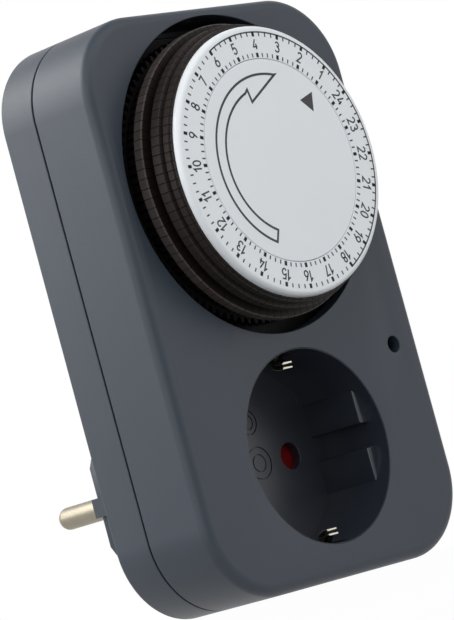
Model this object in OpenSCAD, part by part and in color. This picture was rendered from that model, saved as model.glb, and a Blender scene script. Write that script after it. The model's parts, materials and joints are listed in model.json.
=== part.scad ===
// Plug-in timer switch: a 24 hour mechanical timer between a wall socket and an appliance plug.
// Y runs from the dial (negative) to the plug pins (positive), Z is up, X is right seen from the dial.
// The origin is the centre of the plug face, halfway between the two pins.

/* [Casing] */
// Width of the casing
case_w = 75; // [74:0.5:84]
// Height of the casing
case_h = 119.3; // [118.5:0.1:126]
// Depth of the casing from its front face to its back
case_d = 26.5; // [26.5:0.1:29]
// Depth of the front shell, down to the parting line
front_d = 13.75; // [12:0.25:15]
// Radius of the four upright corners
corner_r = 16.7; // [13:0.1:18]
// Rounding of the front edge
edge_r = 2.2; // [1.2:0.1:2.6]
// Rounding of the back edge
back_edge_r = 0.8; // [0.4:0.1:1.2]
// Wall thickness of both shells
wall = 2; // [1.6:0.1:2.2]
// Gap that shows at the parting line
parting_gap = 0.3; // [0.1:0.05:0.5]
// Height of the socket centre above the bottom of the casing
socket_up = 27; // [26.5:0.1:29]

/* [Plug] */
// Distance between the two pins
pin_pitch = 19; // [18.8:0.05:19.2]
// Diameter of a plug pin
pin_dia = 4.8; // [4.7:0.02:4.9]
// Length of a pin beyond the plug face
pin_len = 19; // [18:0.25:20]
// Depth of the plug boss behind the casing
boss_d = 23; // [22.5:0.25:26]
// Radius of the plug boss
boss_r = 18.7; // [18.4:0.05:18.9]
// Half distance between the two flats on the boss
boss_flat = 16.7; // [16.2:0.05:17]
// Width of the guide rib on each flat
boss_rib_w = 4; // [3:0.1:5]
// Thickness of the plug face
boss_face_t = 3; // [2.4:0.1:3.2]

/* [Socket] */
// Radius of the socket opening in the front face
socket_r = 20.25; // [20:0.05:20.6]
// Depth of the well below the front face
well_d = 17.7; // [17.5:0.1:18.2]
// Radius of the well below the rim
well_r = 19.65; // [19.4:0.05:19.8]
// Half distance between the two flat pads in the well
pad_flat = 17.1; // [16.9:0.05:17.4]
// Depth at which the pads begin
pad_start = 3.4; // [2.5:0.1:5]
// Width of the guide groove between the pads
groove_w = 5; // [4:0.1:6]
// Diameter of the pin holes in the well floor
hole_dia = 5.6; // [5.2:0.1:6]
// Thickness of the well floor
floor_t = 2; // [1.6:0.1:2.2]

/* [Dial] */
// Height of the dial centre above the socket centre
dial_up = 57.05; // [56.9:0.05:58]
// Radius of the round opening around the dial
opening_r = 33.3; // [33:0.1:33.8]
// Depth of the collar behind the opening
collar_d = 3.6; // [2.5:0.1:3.8]
// Height of the number ring above the front face
dial_proud = 10.6; // [9.8:0.1:11.5]
// Thickness of the number ring at its rim
ring_t = 1.3; // [1:0.1:1.6]
// Outer radius of the number ring
ring_r = 28.1; // [27.6:0.1:28.6]
// Radius of the fixed centre disc
disc_r = 21; // [18:0.1:22]
// Number of switching segments
seg_count = 96; // [96]
// Angle of the hour zero mark, counter-clockwise from the right
zero_angle = 26.75; // [26.75]
// How far a segment is pushed in
seg_travel = 3; // [2:0.1:3]
// Gap between neighbouring segments, in degrees
seg_gap = 0.2; // [0.1:0.02:0.3]
// Radius of the segment flange
flange_r = 30.75; // [30.2:0.05:31]

/* [Gears] */
// Module of the dial gear and its pinion
dial_module = 0.622; // [0.622]
// Teeth of the dial gear
dial_teeth = 96; // [96]
// Teeth of the output pinion
pinion_teeth = 12; // [12]
// Module of the clock gears
gear_module = 0.5; // [0.5]
// Teeth of each small clock pinion
small_teeth = 8; // [8]
// Teeth of the two clock wheels
wheel_teeth = 28; // [28]
// Teeth of the output wheel
output_teeth = 30; // [30]
// Thickness of a clock wheel
gear_t = 1.1; // [0.8:0.05:1.1]
// Radius of the fixed gear axles
axle_r = 0.8; // [0.6:0.05:0.9]
// Radius of the output shaft
shaft_r = 1.5; // [1.2:0.05:1.6]

/* [Switch and motor] */
// Outer radius of the motor can
motor_r = 13.5; // [12.5:0.1:13.8]
// Distance from the lever pivot down to its nose
lever_arm = 12.2; // [11.5:0.1:13]
// Width of the lever
lever_w = 3.6; // [3:0.1:4.2]
// Thickness of the contact leaf
leaf_t = 0.4; // [0.3:0.05:0.5]
// Width of the contact leaf
leaf_w = 4; // [3:0.1:4.4]
// Radius of the contact rivets
rivet_r = 1.6; // [1.2:0.1:1.8]

/* [Fits] */
// Running clearance on a radius
run_fit = 0.05; // [0.03:0.01:0.08]
// Clearance between loose parts
gap = 0.3; // [0.25:0.05:0.35]
// Clearance of seated parts
seat_fit = 0.1; // [0.05:0.01:0.15]

/* [Hidden] */
$fn = 64;
hull_fn = 32;
groups = 12;
hours = 24;
group_names = [for (g = [0 : groups - 1]) str("segments_", g * 2, "_to_", g * 2 + 2, "h")];

// Planes along Y
back_y = -boss_d;
face_y = back_y - case_d;
split_y = face_y + front_d;
inner_back_y = back_y - wall;
inner_front_y = face_y + wall;
// Heights
bottom_z = -socket_up;
top_z = case_h - socket_up;
mid_z = (top_z + bottom_z) / 2;
half_pitch = pin_pitch / 2;
pin_r = pin_dia / 2;
hole_r = hole_dia / 2;

// ---------- helpers ----------
// A flat shape in X and Z, from depth y0 to depth y1
module slab(y0, y1) {
    translate([0, y1, 0]) rotate([90, 0, 0]) linear_extrude(y1 - y0) children();
}
// A round bar along Y
module rod(x, z, r, y0, y1) {
    slab(y0, y1) translate([x, z]) circle(r);
}
// A ring along Y
module tube(x, z, r, bore, y0, y1) {
    difference() {
        rod(x, z, r, y0, y1);
        rod(x, z, bore, y0 - 1, y1 + 1);
    }
}
// A block from its six sides
module block(x0, x1, y0, y1, z0, z1) {
    translate([x0, y0, z0]) cube([x1 - x0, y1 - y0, z1 - z0]);
}
// A turned solid about a line along Y; its outline holds [radius, depth] points
module turned(x, z, outline) {
    translate([x, 0, z]) rotate([-90, 0, 0]) rotate_extrude() polygon(outline);
}
// The same over an arc, from angle a0 to a1, counter-clockwise seen from the dial
module turned_arc(x, z, outline, a0, a1) {
    translate([x, 0, z]) rotate([-90, 0, 0]) rotate([0, 0, -a1])
        rotate_extrude(angle = a1 - a0) polygon(outline);
}
// Rounded rectangle of the casing, drawn in by a distance
module case_outline(inset) {
    w = case_w / 2 - corner_r;
    h = case_h / 2 - corner_r;
    r = corner_r - inset;
    translate([0, mid_z]) union() {
        square([2 * w, 2 * (h + r)], center = true);
        square([2 * (w + r), 2 * h], center = true);
        for (sx = [-1, 1], sz = [-1, 1]) translate([sx * w, sz * h]) circle(r);
    }
}
// A thin slice of the same outline, for hulls
module case_slice(y, inset) {
    w = case_w / 2 - corner_r;
    h = case_h / 2 - corner_r;
    slab(y, y + slice_t) translate([0, mid_z])
        for (sx = [-1, 1], sz = [-1, 1]) translate([sx * w, sz * h])
            circle(corner_r - inset, $fn = hull_fn);
}
slice_t = 0.1;
// Lip of the rear shell
lip_up = 1.5;
lip_foot = 2;
lip_w = 1;
// Steps of a quarter round
round_steps = [0, 22.5, 45, 67.5, 90];
// A flat strip in Y and Z between two points, centred on X
module strip(a, b, thick, width) {
    d = b - a;
    translate([-width / 2, a[0], a[1]]) rotate([atan2(d[1], d[0]), 0, 0])
        translate([0, -thick / 2, -thick / 2]) cube([width, norm(d) + thick, thick]);
}
// Outline of a spur gear with straight-flanked teeth
function tooth(r0, r1, r2, r3, step, a) = [
    [r0 * cos(a - step * 0.32), r0 * sin(a - step * 0.32)],
    [r1 * cos(a - step * 0.20), r1 * sin(a - step * 0.20)],
    [r2 * cos(a - step * 0.08), r2 * sin(a - step * 0.08)],
    [r2 * cos(a + step * 0.08), r2 * sin(a + step * 0.08)],
    [r1 * cos(a + step * 0.20), r1 * sin(a + step * 0.20)],
    [r0 * cos(a + step * 0.32), r0 * sin(a + step * 0.32)]];
function gear_outline(teeth, m, phase) =
    let (rp = teeth * m / 2)
    [for (i = [0 : teeth - 1]) each
        tooth(rp - 1.15 * m, rp, rp + 0.8 * m, 0, 360 / teeth, phase + i * 360 / teeth)];
module gear(x, z, teeth, m, phase, y0, y1) {
    slab(y0, y1) translate([x, z]) polygon(gear_outline(teeth, m, phase));
}

// ---------- derived sizes ----------
// Screws that hold the shells together
screw_in = 8;
screw_down = 7.8;
screw_x = case_w / 2 - screw_in;
screw_top_z = top_z - screw_down;
screw_low_z = bottom_z + screw_in;
screw_places = [for (sx = [-1, 1], z = [screw_low_z, screw_top_z]) [sx * screw_x, z]];
screw_shank_r = 1.45;
screw_head_r = 2.7;
screw_head_t = 1.8;
post_r = 3;
rear_post_r = 4.5;
rear_post_y = back_y - 10;
head_seat_y = back_y - 6;
screw_tip_y = rear_post_y - 8;
// Screw in the small hole beside the socket
front_screw_x = case_w / 2 - screw_down;
front_screw_z = 16.8;
front_hole_r = 1.75;
front_tube_r = 3.4;
front_tube_y = face_y + 13;
front_head_y = face_y + 5;
front_shank_r = 1.1;
front_head_t = 1.6;

// Well and what lies behind it
cup_r = well_r + 1.95;
lip_t = 1;
floor_y = face_y + well_d;
cup_back_y = floor_y + floor_t;
slot_w = 5.4;
slot_z = 16;
shutter_t = 1.2;
shutter_y = cup_back_y + 0.2;
cover_y = cup_back_y + 2.8;
cover_t = 0.8;
cover_r = 15;
cover_rim = 1;
hub_r = 1.5;
shutter_hub_r = 3.2;
blade_r = 3.5;
bar_y = cover_y + cover_t;
bar_t = 0.8;
bar_w = 6;
carrier_y = bar_y + bar_t;
carrier_back_y = -11;
cavity_r = boss_r - 2.2;
cavity_flat = boss_flat - 2.1;
ledge = 1.5;
clip_r = 3.4;
clip_bore_r = 2.35;
clip_y = bar_y + 0.3;
clip_back_y = -13;
pin_flange_r = 3.6;
pin_flange_t = 1.5;
pin_stub_r = 2;
pin_inner_y = -9;
bus_t = 0.6;
bus_y = bar_y + 0.1;

// Dial stack
ring_front_y = face_y - dial_proud;
ring_back_y = ring_front_y + ring_t;
seg_front_y = ring_back_y + gap;
seg_in_r = ring_r - 1.45;
drum_wall_r = seg_in_r - 0.15;
drum_in_r = drum_wall_r - 1.5;
flange_y = face_y - 0.5;
flange_t = 2.2;
tongue_r = ring_r + 0.2;
tongue_deg = 1.25;
drum_base_y = face_y + 4.2;
drum_base_t = 2.2;
drum_back_y = drum_base_y + drum_base_t;
tongue_y = drum_back_y + 0.2;
window_half = 7.1;
seg_step = 360 / seg_count;
seg_per_group = seg_count / groups;
// Stepped side of a segment, as [radius, depth]
seg_outline = [
    [seg_in_r, seg_front_y], [ring_r + 0.3, seg_front_y],
    [ring_r + 0.3, seg_front_y + 0.6], [ring_r + 0.7, seg_front_y + 0.6],
    [ring_r + 0.7, seg_front_y + 2.0], [ring_r + 0.45, seg_front_y + 2.0],
    [ring_r + 0.45, seg_front_y + 2.7], [ring_r + 1.5, seg_front_y + 2.7],
    [ring_r + 1.5, seg_front_y + 4.8], [ring_r + 0.8, seg_front_y + 4.8],
    [ring_r + 0.8, flange_y - flange_t], [flange_r, flange_y - flange_t],
    [flange_r, flange_y], [seg_in_r, flange_y]];
tongue_in_r = seg_in_r + 0.3;
tongue_outline = [
    [tongue_in_r, flange_y - 1], [tongue_r, flange_y - 1],
    [tongue_r, tongue_y], [tongue_in_r, tongue_y]];
dial_gear_r = dial_teeth * dial_module / 2;

// Fixed post that carries the dial
plate_y = tongue_y + seg_travel + 0.5;
plate_t = 1.8;
plate_back_y = plate_y + plate_t;
post_core_r = 4;
post_flange_r = 8;
post_flange_t = 1.4;
nose_r = 2.95;
post_step_y = face_y - 4;
washer_t = 0.6;
washer_r = 6;
hub_front_y = post_step_y + gap;
hub_back_y = plate_y - post_flange_t - gap;
hub_wall_r = 6.6;
disc_back_y = ring_front_y + 2.4;

// Gear train, from the output shaft up to the motor
function from(p, dist, a) = [p[0] + dist * cos(a), p[1] + dist * sin(a)];
mesh_slack = 0.08;
dial_at = [0, dial_up];
output_dir = 225;
output_at = from(dial_at, dial_gear_r + pinion_teeth * dial_module / 2 + mesh_slack, output_dir);
two_dir = 50;
two_at = from(output_at, (small_teeth + output_teeth) * gear_module / 2 + mesh_slack, two_dir);
one_dir = 20;
one_at = from(two_at, (small_teeth + wheel_teeth) * gear_module / 2 + mesh_slack, one_dir);
rotor_dir = 100;
rotor_at = from(one_at, (small_teeth + wheel_teeth) * gear_module / 2 + mesh_slack, rotor_dir);
layer = gear_t + 0.1;
low_y = plate_back_y + 0.1;
mid_y = low_y + layer;
high_y = mid_y + layer;
gear_cover_y = high_y + gear_t + 0.15;
gear_cover_t = 0.8;
motor_y = gear_cover_y + gear_cover_t;
motor_back_y = inner_back_y - 0.2;
can_t = 0.6;
coil_in_r = 8.2;
coil_out_r = motor_r - 0.9;
magnet_r = 7;
magnet_gap = 0.6;
neck_r = 1.4;

// Switch, tripped by the segments at the trip angle
trip_group = 9;
trip_angle = zero_angle + (trip_group + 0.5) * 360 / groups;
trip_r = (tongue_in_r + tongue_r) / 2;
trip_at = from(dial_at, trip_r, trip_angle);
nose_tip_r = 1.5;
nose_y = tongue_y + gap + nose_tip_r;
pivot_z = trip_at[1] + lever_arm;
pivot_y = plate_y + 3.2;
pivot_r = 1;
lever_hub_r = 1.9;
pusher_r = 1;
pusher_y = pivot_y + 0.9;
leaf_y = pusher_y + pusher_r + gap;
leaf_root_z = pivot_z + 5;
leaf_tip_z = trip_at[1] - 4;
rivet_z = leaf_tip_z + 2;
rivet_t = 1;
contact_gap = 3.9;
fixed_y = leaf_y + leaf_t + rivet_t + contact_gap;
foot_drop = 4.6;
foot_z = rivet_z - foot_drop;
ear_gap = 0.25;
ear_t = 1.6;

// ---------- casing ----------
module front_shell() color("#4a5159") difference() {
    union() {
        difference() {
            hull() {
                for (a = round_steps)
                    case_slice(face_y + edge_r * (1 - sin(a)), edge_r * (1 - cos(a)));
                case_slice(split_y - parting_gap / 2 - slice_t, 0);
            }
            slab(inner_front_y, split_y + 1) case_outline(wall);
        }
        for (p = screw_places) rod(p[0], p[1], post_r, inner_front_y - 0.5, rear_post_y);
        for (p = plate_posts) rod(p[0], p[1], plate_post_r, inner_front_y - 0.5, plate_y);
        for (sx = [-1, 1])
            rod(sx * screw_x, screw_top_z, plate_post_r + 0.6, inner_front_y - 0.5, plate_y);
        rod(front_screw_x, front_screw_z, front_tube_r, inner_front_y - 0.5, front_tube_y);
        intersection() {
            tube(0, dial_up, opening_r + collar_t, opening_r, face_y + 0.5, face_y + collar_d);
            slab(face_y, face_y + collar_d + 1) case_outline(wall / 2);
        }
    }
    rod(0, dial_up, opening_r, face_y - 1, inner_front_y + 1);
    rod(0, 0, socket_r, face_y - 1, inner_front_y + 1);
    rod(0, 0, cup_r + seat_fit, face_y + lip_t, split_y);
    for (p = screw_places) rod(p[0], p[1], screw_shank_r + run_fit, screw_tip_y - 1, rear_post_y + 1);
    for (p = plate_posts) rod(p[0], p[1], plate_screw_r + run_fit, plate_y - 6, plate_y + 1);
    rod(front_screw_x, front_screw_z, front_hole_r, face_y - 1, front_head_y + front_head_t);
    rod(front_screw_x, front_screw_z, front_shank_r + run_fit, face_y, front_tube_y + 1);
}
collar_t = 1.3;
plate_low_z = 24.5;
plate_post_in = 6.3;
plate_posts = [for (sx = [-1, 1]) [sx * (case_w / 2 - plate_post_in), plate_low_z + 1.9]];
plate_post_r = 3.6;
plate_screw_r = 1;

// Rounded body of the plug boss: a round with two flats and a rib on each flat
module boss_outline(r, flat) {
    intersection() {
        circle(r);
        union() {
            square([2 * flat, 2 * r + 2], center = true);
            square([2 * r + 2, boss_rib_w], center = true);
        }
    }
}
module cavity_outline(inset) {
    intersection() {
        circle(cavity_r - inset);
        square([2 * (cavity_flat - inset), 2 * cavity_r], center = true);
    }
}
module rear_shell() color("#4a5159") difference() {
    union() {
        difference() {
            hull() {
                case_slice(split_y + parting_gap / 2, 0);
                case_slice(back_y - back_edge_r - slice_t, 0);
                case_slice(back_y - slice_t, back_edge_r);
            }
            slab(split_y - 1, inner_back_y) case_outline(wall);
        }
        // Lip that reaches into the front shell, and its foot on the wall
        slab(split_y - lip_up, split_y + lip_foot) difference() {
            case_outline(wall + seat_fit);
            case_outline(wall + seat_fit + lip_w);
        }
        slab(split_y + parting_gap / 2, split_y + lip_foot) difference() {
            case_outline(wall / 2);
            case_outline(wall + seat_fit + lip_w);
        }
        for (p = screw_places) rod(p[0], p[1], rear_post_r, rear_post_y, inner_back_y + 0.5);
        rod(front_screw_x, front_screw_z, front_tube_r, front_tube_y, inner_back_y + 0.5);
        for (a = [35, 145, 215, 325])
            rod(20 * cos(a), 20 * sin(a), 1.5, cup_back_y, inner_back_y + 0.5);
        slab(inner_back_y, 0) boss_outline(boss_r, boss_flat);
    }
    slab(inner_back_y - 1, carrier_back_y) cavity_outline(0);
    slab(carrier_back_y - 1, -boss_face_t) cavity_outline(ledge);
    for (sx = [-1, 1]) rod(sx * half_pitch, 0, pin_r + run_fit, -boss_face_t - 1, 1);
    // Recesses and wall slots of the two earth strips
    for (sz = [-1, 1]) block(-2.3, 2.3, inner_back_y - 2, 1, earth_z(sz), earth_z(sz) + 3);
    for (p = screw_places) {
        rod(p[0], p[1], screw_shank_r + run_fit, rear_post_y - 1, back_y + 1);
        rod(p[0], p[1], screw_head_r + seat_fit, head_seat_y, back_y + 1);
    }
    rod(front_screw_x, front_screw_z, front_shank_r + run_fit, front_tube_y - 1, inner_back_y - 1);
    // Room for the front posts inside the lip
    for (p = screw_places) rod(p[0], p[1], post_r + gap, split_y - 2, rear_post_y);
    for (sx = [-1, 1])
        rod(sx * screw_x, screw_top_z, plate_post_r + 0.6 + gap, split_y - 2, plate_y + plate_t);
}
function earth_z(side) = side > 0 ? boss_r - 0.95 : -boss_r + 0.95 - 3;

// A pan-head screw along Y; its head looks toward the side given
module screw(x, z, head_y, head_r, head_t, shank_r, tip_y, side) {
    y_top = head_y + side * head_t;
    difference() {
        union() {
            rod(x, z, head_r, min(head_y, y_top), max(head_y, y_top));
            rod(x, z, shank_r, min(head_y, tip_y), max(head_y, tip_y));
        }
        for (a = [0, 90]) translate([x, y_top, z]) rotate([0, a, 0])
            cube([head_r * 1.3, head_t, head_r * 0.3], center = true);
    }
}
module case_screws() color("#9a9a98")
    for (p = screw_places)
        screw(p[0], p[1], head_seat_y, screw_head_r, screw_head_t, screw_shank_r, screw_tip_y, 1);
module front_screw() color("#2a2c2e")
    screw(front_screw_x, front_screw_z, front_head_y + front_head_t, front_hole_r - 0.1,
        front_head_t, front_shank_r, inner_back_y - 2, -1);

// ---------- socket ----------
module well_space() {
    difference() {
        rod(0, 0, well_r, face_y, floor_y);
        for (sx = [-1, 1], sz = [-1, 1])
            block(sx > 0 ? pad_flat : -well_r - 1, sx > 0 ? well_r + 1 : -pad_flat,
                face_y + pad_start, floor_y + 1,
                sz > 0 ? groove_w / 2 : -well_r, sz > 0 ? well_r : -groove_w / 2);
    }
}
module socket_cup() color("#1d2126") difference() {
    rod(0, 0, cup_r, face_y + lip_t, cup_back_y);
    well_space();
    for (sx = [-1, 1]) rod(sx * half_pitch, 0, hole_r, floor_y - 1, cup_back_y + 1);
    for (sz = [-1, 1])
        block(-slot_w / 2, slot_w / 2, face_y + lip_t + 0.3, cup_back_y + 1,
            sz > 0 ? slot_z : -cup_r - 1, sz > 0 ? cup_r + 1 : -slot_z);
    // Plain round marks pressed into the floor
    for (m = floor_marks) tube(m[0], m[1], m[2], m[2] - 0.3, floor_y - 0.1, floor_y + 0.2);
}
floor_marks = [[0.1, 0, 3.5], [-0.3, 8.7, 2.7]];

module shutter() color("#c3221f") difference() {
    union() {
        rod(0, 0, shutter_hub_r, shutter_y, shutter_y + shutter_t);
        for (sx = [-1, 1]) {
            rod(sx * half_pitch, 0, blade_r, shutter_y, shutter_y + shutter_t);
            block(sx > 0 ? 0 : -half_pitch, sx > 0 ? half_pitch : 0,
                shutter_y, shutter_y + shutter_t, -2, 2);
        }
    }
    rod(0, 0, hub_r + run_fit, shutter_y - 1, shutter_y + shutter_t + 1);
}
module shutter_cover() color("#23262a") difference() {
    union() {
        rod(0, 0, cover_r, cover_y, bar_y);
        tube(0, 0, cover_r, cover_r - cover_rim, cup_back_y, cover_y + 0.1);
        rod(0, 0, hub_r, shutter_y, cover_y + 0.1);
    }
    for (sx = [-1, 1]) rod(sx * half_pitch, 0, hole_r + 0.2, cover_y - 1, bar_y + 1);
}
// Torsion spring around the shutter hub, wound as one polyhedron
spring_wire_r = 0.2;
spring_turns = 2;
spring_rings = 24;
spring_sides = 6;
spring_r = 2.1;
spring_y = shutter_y + shutter_t + 0.3;
spring_pitch = (cover_y - spring_y - 0.35) / spring_turns;
function spring_ring(i) =
    let (a = i * 360 / spring_rings)
    [for (k = [0 : spring_sides - 1])
        let (b = k * 360 / spring_sides, r = spring_r + spring_wire_r * cos(b))
        [r * cos(a), spring_y + spring_pitch * i / spring_rings + spring_wire_r * sin(b), r * sin(a)]];
module shutter_spring() color("#b9b9b4") {
    last = spring_turns * spring_rings;
    points = [for (i = [0 : last]) each spring_ring(i)];
    sides = [for (i = [0 : last - 1], k = [0 : spring_sides - 1])
        let (n = (k + 1) % spring_sides, p = i * spring_sides, q = p + spring_sides)
        [p + k, p + n, q + n, q + k]];
    first_cap = [for (k = [spring_sides - 1 : -1 : 0]) k];
    last_cap = [for (k = [0 : spring_sides - 1]) last * spring_sides + k];
    polyhedron(points, concat([first_cap], sides, [last_cap]));
}

module contact_clip(sx) {
    difference() {
        rod(sx * half_pitch, 0, clip_r, clip_y, clip_back_y);
        rod(sx * half_pitch, 0, clip_bore_r, clip_y - 1, clip_back_y - 1);
        block(sx * half_pitch - 0.4, sx * half_pitch + 0.4, clip_y - 1, clip_back_y - 2, 0, clip_r + 1);
    }
}
module contact_line() color("#c9a54a") contact_clip(1);
module contact_neutral() color("#c9a54a") contact_clip(-1);
module contact_carrier() color("#d8d4c4") difference() {
    slab(carrier_y, carrier_back_y) cavity_outline(seat_fit * 2);
    for (sx = [-1, 1]) {
        rod(sx * half_pitch, 0, clip_r + seat_fit, carrier_y - 1, clip_back_y);
        rod(sx * half_pitch, 0, pin_stub_r + seat_fit, clip_back_y - 1, carrier_back_y + 1);
    }
    block(half_pitch - 2.2, half_pitch + 2.2, carrier_y - 1, carrier_back_y + 1,
        bus_step_z - 0.2, bus_step_z + bus_t + 0.2);
}
bus_step_z = 8.5;

module earth_bar() color("#c9a54a")
    block(-bar_w / 2, bar_w / 2, bar_y, bar_y + bar_t, -cover_r, cover_r);
// One earth strip: spring clip in the well, foot on the bar, and contact on the plug boss
earth_t = 0.6;
earth_w = 4;
module earth_clip(sz) {
    foot_y = bar_y + bar_t / 2;
    well_z = cup_r - 1.0;
    strip_z = boss_r - 0.95 + earth_t / 2 + 0.02;
    path = [[foot_y, well_z], [face_y + 3.2, well_z], [face_y + 1.9, well_z - 1.2],
        [face_y + 2.6, well_z - 3.4], [face_y + 9, well_z - 2.4]];
    scale([1, 1, sz]) {
        block(-earth_w / 2, earth_w / 2, bar_y, bar_y + bar_t, cover_r, well_z + earth_t / 2);
        for (i = [0 : len(path) - 2]) strip(path[i], path[i + 1], earth_t, earth_w);
        strip([foot_y, strip_z], [-3.5, strip_z], earth_t, earth_w);
    }
}
module earth_clip_top() color("#c8c8c4") earth_clip(1);
module earth_clip_bottom() color("#c8c8c4") earth_clip(-1);

// Plug pin with a rounded tip and a neck inside the plug face, turned about its own axis
tip_r = 1.9;
pin_neck_r = pin_r - 0.2;
module plug_pin(sx) {
    tip = [for (a = [0 : 15 : 90]) [pin_r - tip_r + tip_r * cos(a), pin_len - tip_r + tip_r * sin(a)]];
    turned(sx * half_pitch, 0, concat(
        [[0, pin_inner_y], [pin_stub_r, pin_inner_y],
         [pin_stub_r, -boss_face_t - pin_flange_t], [pin_flange_r, -boss_face_t - pin_flange_t],
         [pin_flange_r, -boss_face_t], [pin_neck_r, -boss_face_t], [pin_neck_r, 0], [pin_r, 0]],
        tip, [[0, pin_len]]));
}
module line_pin() color("#d9d5c8") plug_pin(1);
module neutral_pin() color("#d9d5c8") plug_pin(-1);

// Flat conductors
turn_z = 23;
bus_w = 4;
module bus_line_in() color("#b87333") {
    x0 = half_pitch - bus_w / 2;
    block(x0, x0 + bus_w, pin_inner_y - bus_t, pin_inner_y, -bus_w / 2, bus_step_z + bus_t);
    block(x0, x0 + bus_w, bus_y, pin_inner_y, bus_step_z, bus_step_z + bus_t);
    block(x0, x0 + bus_w, bus_y, bus_y + bus_t, bus_step_z, turn_z + bus_w);
    block(x0, trip_at[0] + bus_w / 2, bus_y, bus_y + bus_t, turn_z, turn_z + bus_w);
    block(trip_at[0] - bus_w / 2, trip_at[0] + bus_w / 2, bus_y, bus_y + bus_t, turn_z, foot_z);
}
out_x = case_w / 2 - 15;
out_w = 3;
root_h = 5;
module bus_line_out() color("#b87333") {
    block(half_pitch + clip_r, out_x + out_w, bus_y, bus_y + bus_t, -out_w / 2, out_w / 2);
    block(out_x, out_x + out_w, bus_y, bus_y + bus_t, -out_w / 2, leaf_root_z + root_h);
    block(out_x, out_x + out_w, leaf_y, bus_y + bus_t, leaf_root_z + root_h - bus_t, leaf_root_z + root_h);
    block(trip_at[0] - leaf_w / 2, out_x + out_w, leaf_y, leaf_y + leaf_t,
        leaf_root_z + gap, leaf_root_z + root_h);
}
module bus_neutral() color("#b87333")
    rod(-half_pitch, 0, pin_stub_r - 0.2, clip_back_y, pin_inner_y);

// ---------- mechanism ----------
module mechanism_plate() color("#2c2826") difference() {
    union() {
        slab(plate_y, plate_back_y) intersection() {
            case_outline(wall + 1.2 + gap + 0.2);
            translate([-case_w, plate_low_z]) square([2 * case_w, case_h]);
        }
        // Ears that hold the lever pin
        for (sx = [-1, 1]) block(
            trip_at[0] + sx * (lever_w / 2 + ear_gap + ear_t / 2) - ear_t / 2,
            trip_at[0] + sx * (lever_w / 2 + ear_gap + ear_t / 2) + ear_t / 2,
            plate_back_y - 0.5, pivot_y + 2, pivot_z - 2, pivot_z + 2);
        for (p = cover_pillars) rod(p[0], p[1], 2, plate_back_y - 0.5, gear_cover_y);
    }
    block(trip_at[0] - lever_w / 2 - gap, trip_at[0] + lever_w / 2 + gap,
        plate_y - 1, plate_back_y + 1, trip_at[1] - 3.4, pivot_z + lever_hub_r + gap);
    rod(output_at[0], output_at[1], shaft_r + run_fit, plate_y - 1, plate_back_y + 1);
    for (p = [one_at, two_at]) rod(p[0], p[1], axle_r, plate_back_y - 1, plate_back_y + 1);
    rod(rotor_at[0], rotor_at[1], axle_r + run_fit, plate_back_y - 1, plate_back_y + 1);
    for (sx = [-1, 1]) rod(sx * screw_x, screw_top_z, post_r + seat_fit, plate_y - 1, plate_back_y + 1);
    for (p = plate_posts) rod(p[0], p[1], plate_screw_r + run_fit, plate_y - 1, plate_back_y + 1);
    rod(0, dial_up, post_core_r - 1 + seat_fit, plate_y - 1, plate_back_y + 1);
    translate([trip_at[0], pivot_y, pivot_z]) rotate([0, 90, 0])
        cylinder(r = pivot_r, h = 20, center = true);
}
cover_pillars = [from(two_at, 11.2, -42), from(output_at, 10.4, 120)];
module plate_screws() color("#9a9a98")
    for (p = plate_posts)
        screw(p[0], p[1], plate_back_y, 1.8, 1.2, plate_screw_r, plate_y - 5, 1);

module center_post() color("#8d9196") {
    turned(0, dial_up, [
        [0, plate_back_y], [post_core_r - 1, plate_back_y], [post_core_r - 1, plate_y],
        [post_flange_r, plate_y], [post_flange_r, plate_y - post_flange_t],
        [post_core_r, plate_y - post_flange_t], [post_core_r, post_step_y],
        [nose_r, post_step_y], [nose_r, disc_back_y - 0.4], [0, disc_back_y - 0.4]]);
}
module dial_washer() color("#c8c8c4")
    tube(0, dial_up, washer_r, nose_r + run_fit, post_step_y - washer_t, post_step_y);

module dial_drum() color("#2c2725") difference() {
    union() {
        gear(0, dial_up, dial_teeth, dial_module, output_dir, drum_base_y, drum_back_y);
        tube(0, dial_up, drum_wall_r, drum_in_r, ring_back_y + 0.4, drum_base_y + 0.5);
        rod(0, dial_up, hub_wall_r, hub_front_y, hub_back_y);
    }
    rod(0, dial_up, post_core_r + run_fit, hub_front_y - 1, hub_back_y + 1);
    for (h = [0 : hours - 1]) turned_arc(0, dial_up, window_outline,
        zero_angle + (h + 0.5) * 360 / hours - window_half,
        zero_angle + (h + 0.5) * 360 / hours + window_half);
}
window_outline = [
    [tongue_in_r - 0.15, drum_base_y - 1], [tongue_r + 0.15, drum_base_y - 1],
    [tongue_r + 0.15, drum_back_y + 1], [tongue_in_r - 0.15, drum_back_y + 1]];

module number_ring() color("#e8ebee")
    turned(0, dial_up, [
        [disc_r + 0.15, ring_front_y], [ring_r - 0.8, ring_front_y],
        [ring_r - 0.3, ring_front_y + 0.3], [ring_r, ring_front_y + ring_t - 0.2],
        [ring_r, ring_back_y], [drum_wall_r, ring_back_y], [drum_wall_r, ring_back_y + 0.4],
        [drum_in_r, ring_back_y + 0.4], [drum_in_r, ring_back_y], [disc_r + 0.15, ring_back_y]]);
module center_disc() color("#e8ebee") difference() {
    union() {
        rod(0, dial_up, disc_r, ring_front_y, ring_back_y);
        rod(0, dial_up, washer_r, ring_front_y + 0.5, post_step_y - washer_t);
    }
    rod(0, dial_up, nose_r + run_fit, disc_back_y - 0.4, post_step_y);
}

// One block of eight segments, two hours of the day
module segment_group(g) color("#332d2a") {
    for (i = [0 : seg_per_group - 1]) {
        a = zero_angle + (g * seg_per_group + i + 0.5) * seg_step;
        union() {
            turned_arc(0, dial_up, seg_outline, a - (seg_step - seg_gap) / 2, a + (seg_step - seg_gap) / 2);
            turned_arc(0, dial_up, tongue_outline, a - tongue_deg, a + tongue_deg);
        }
    }
}

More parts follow.
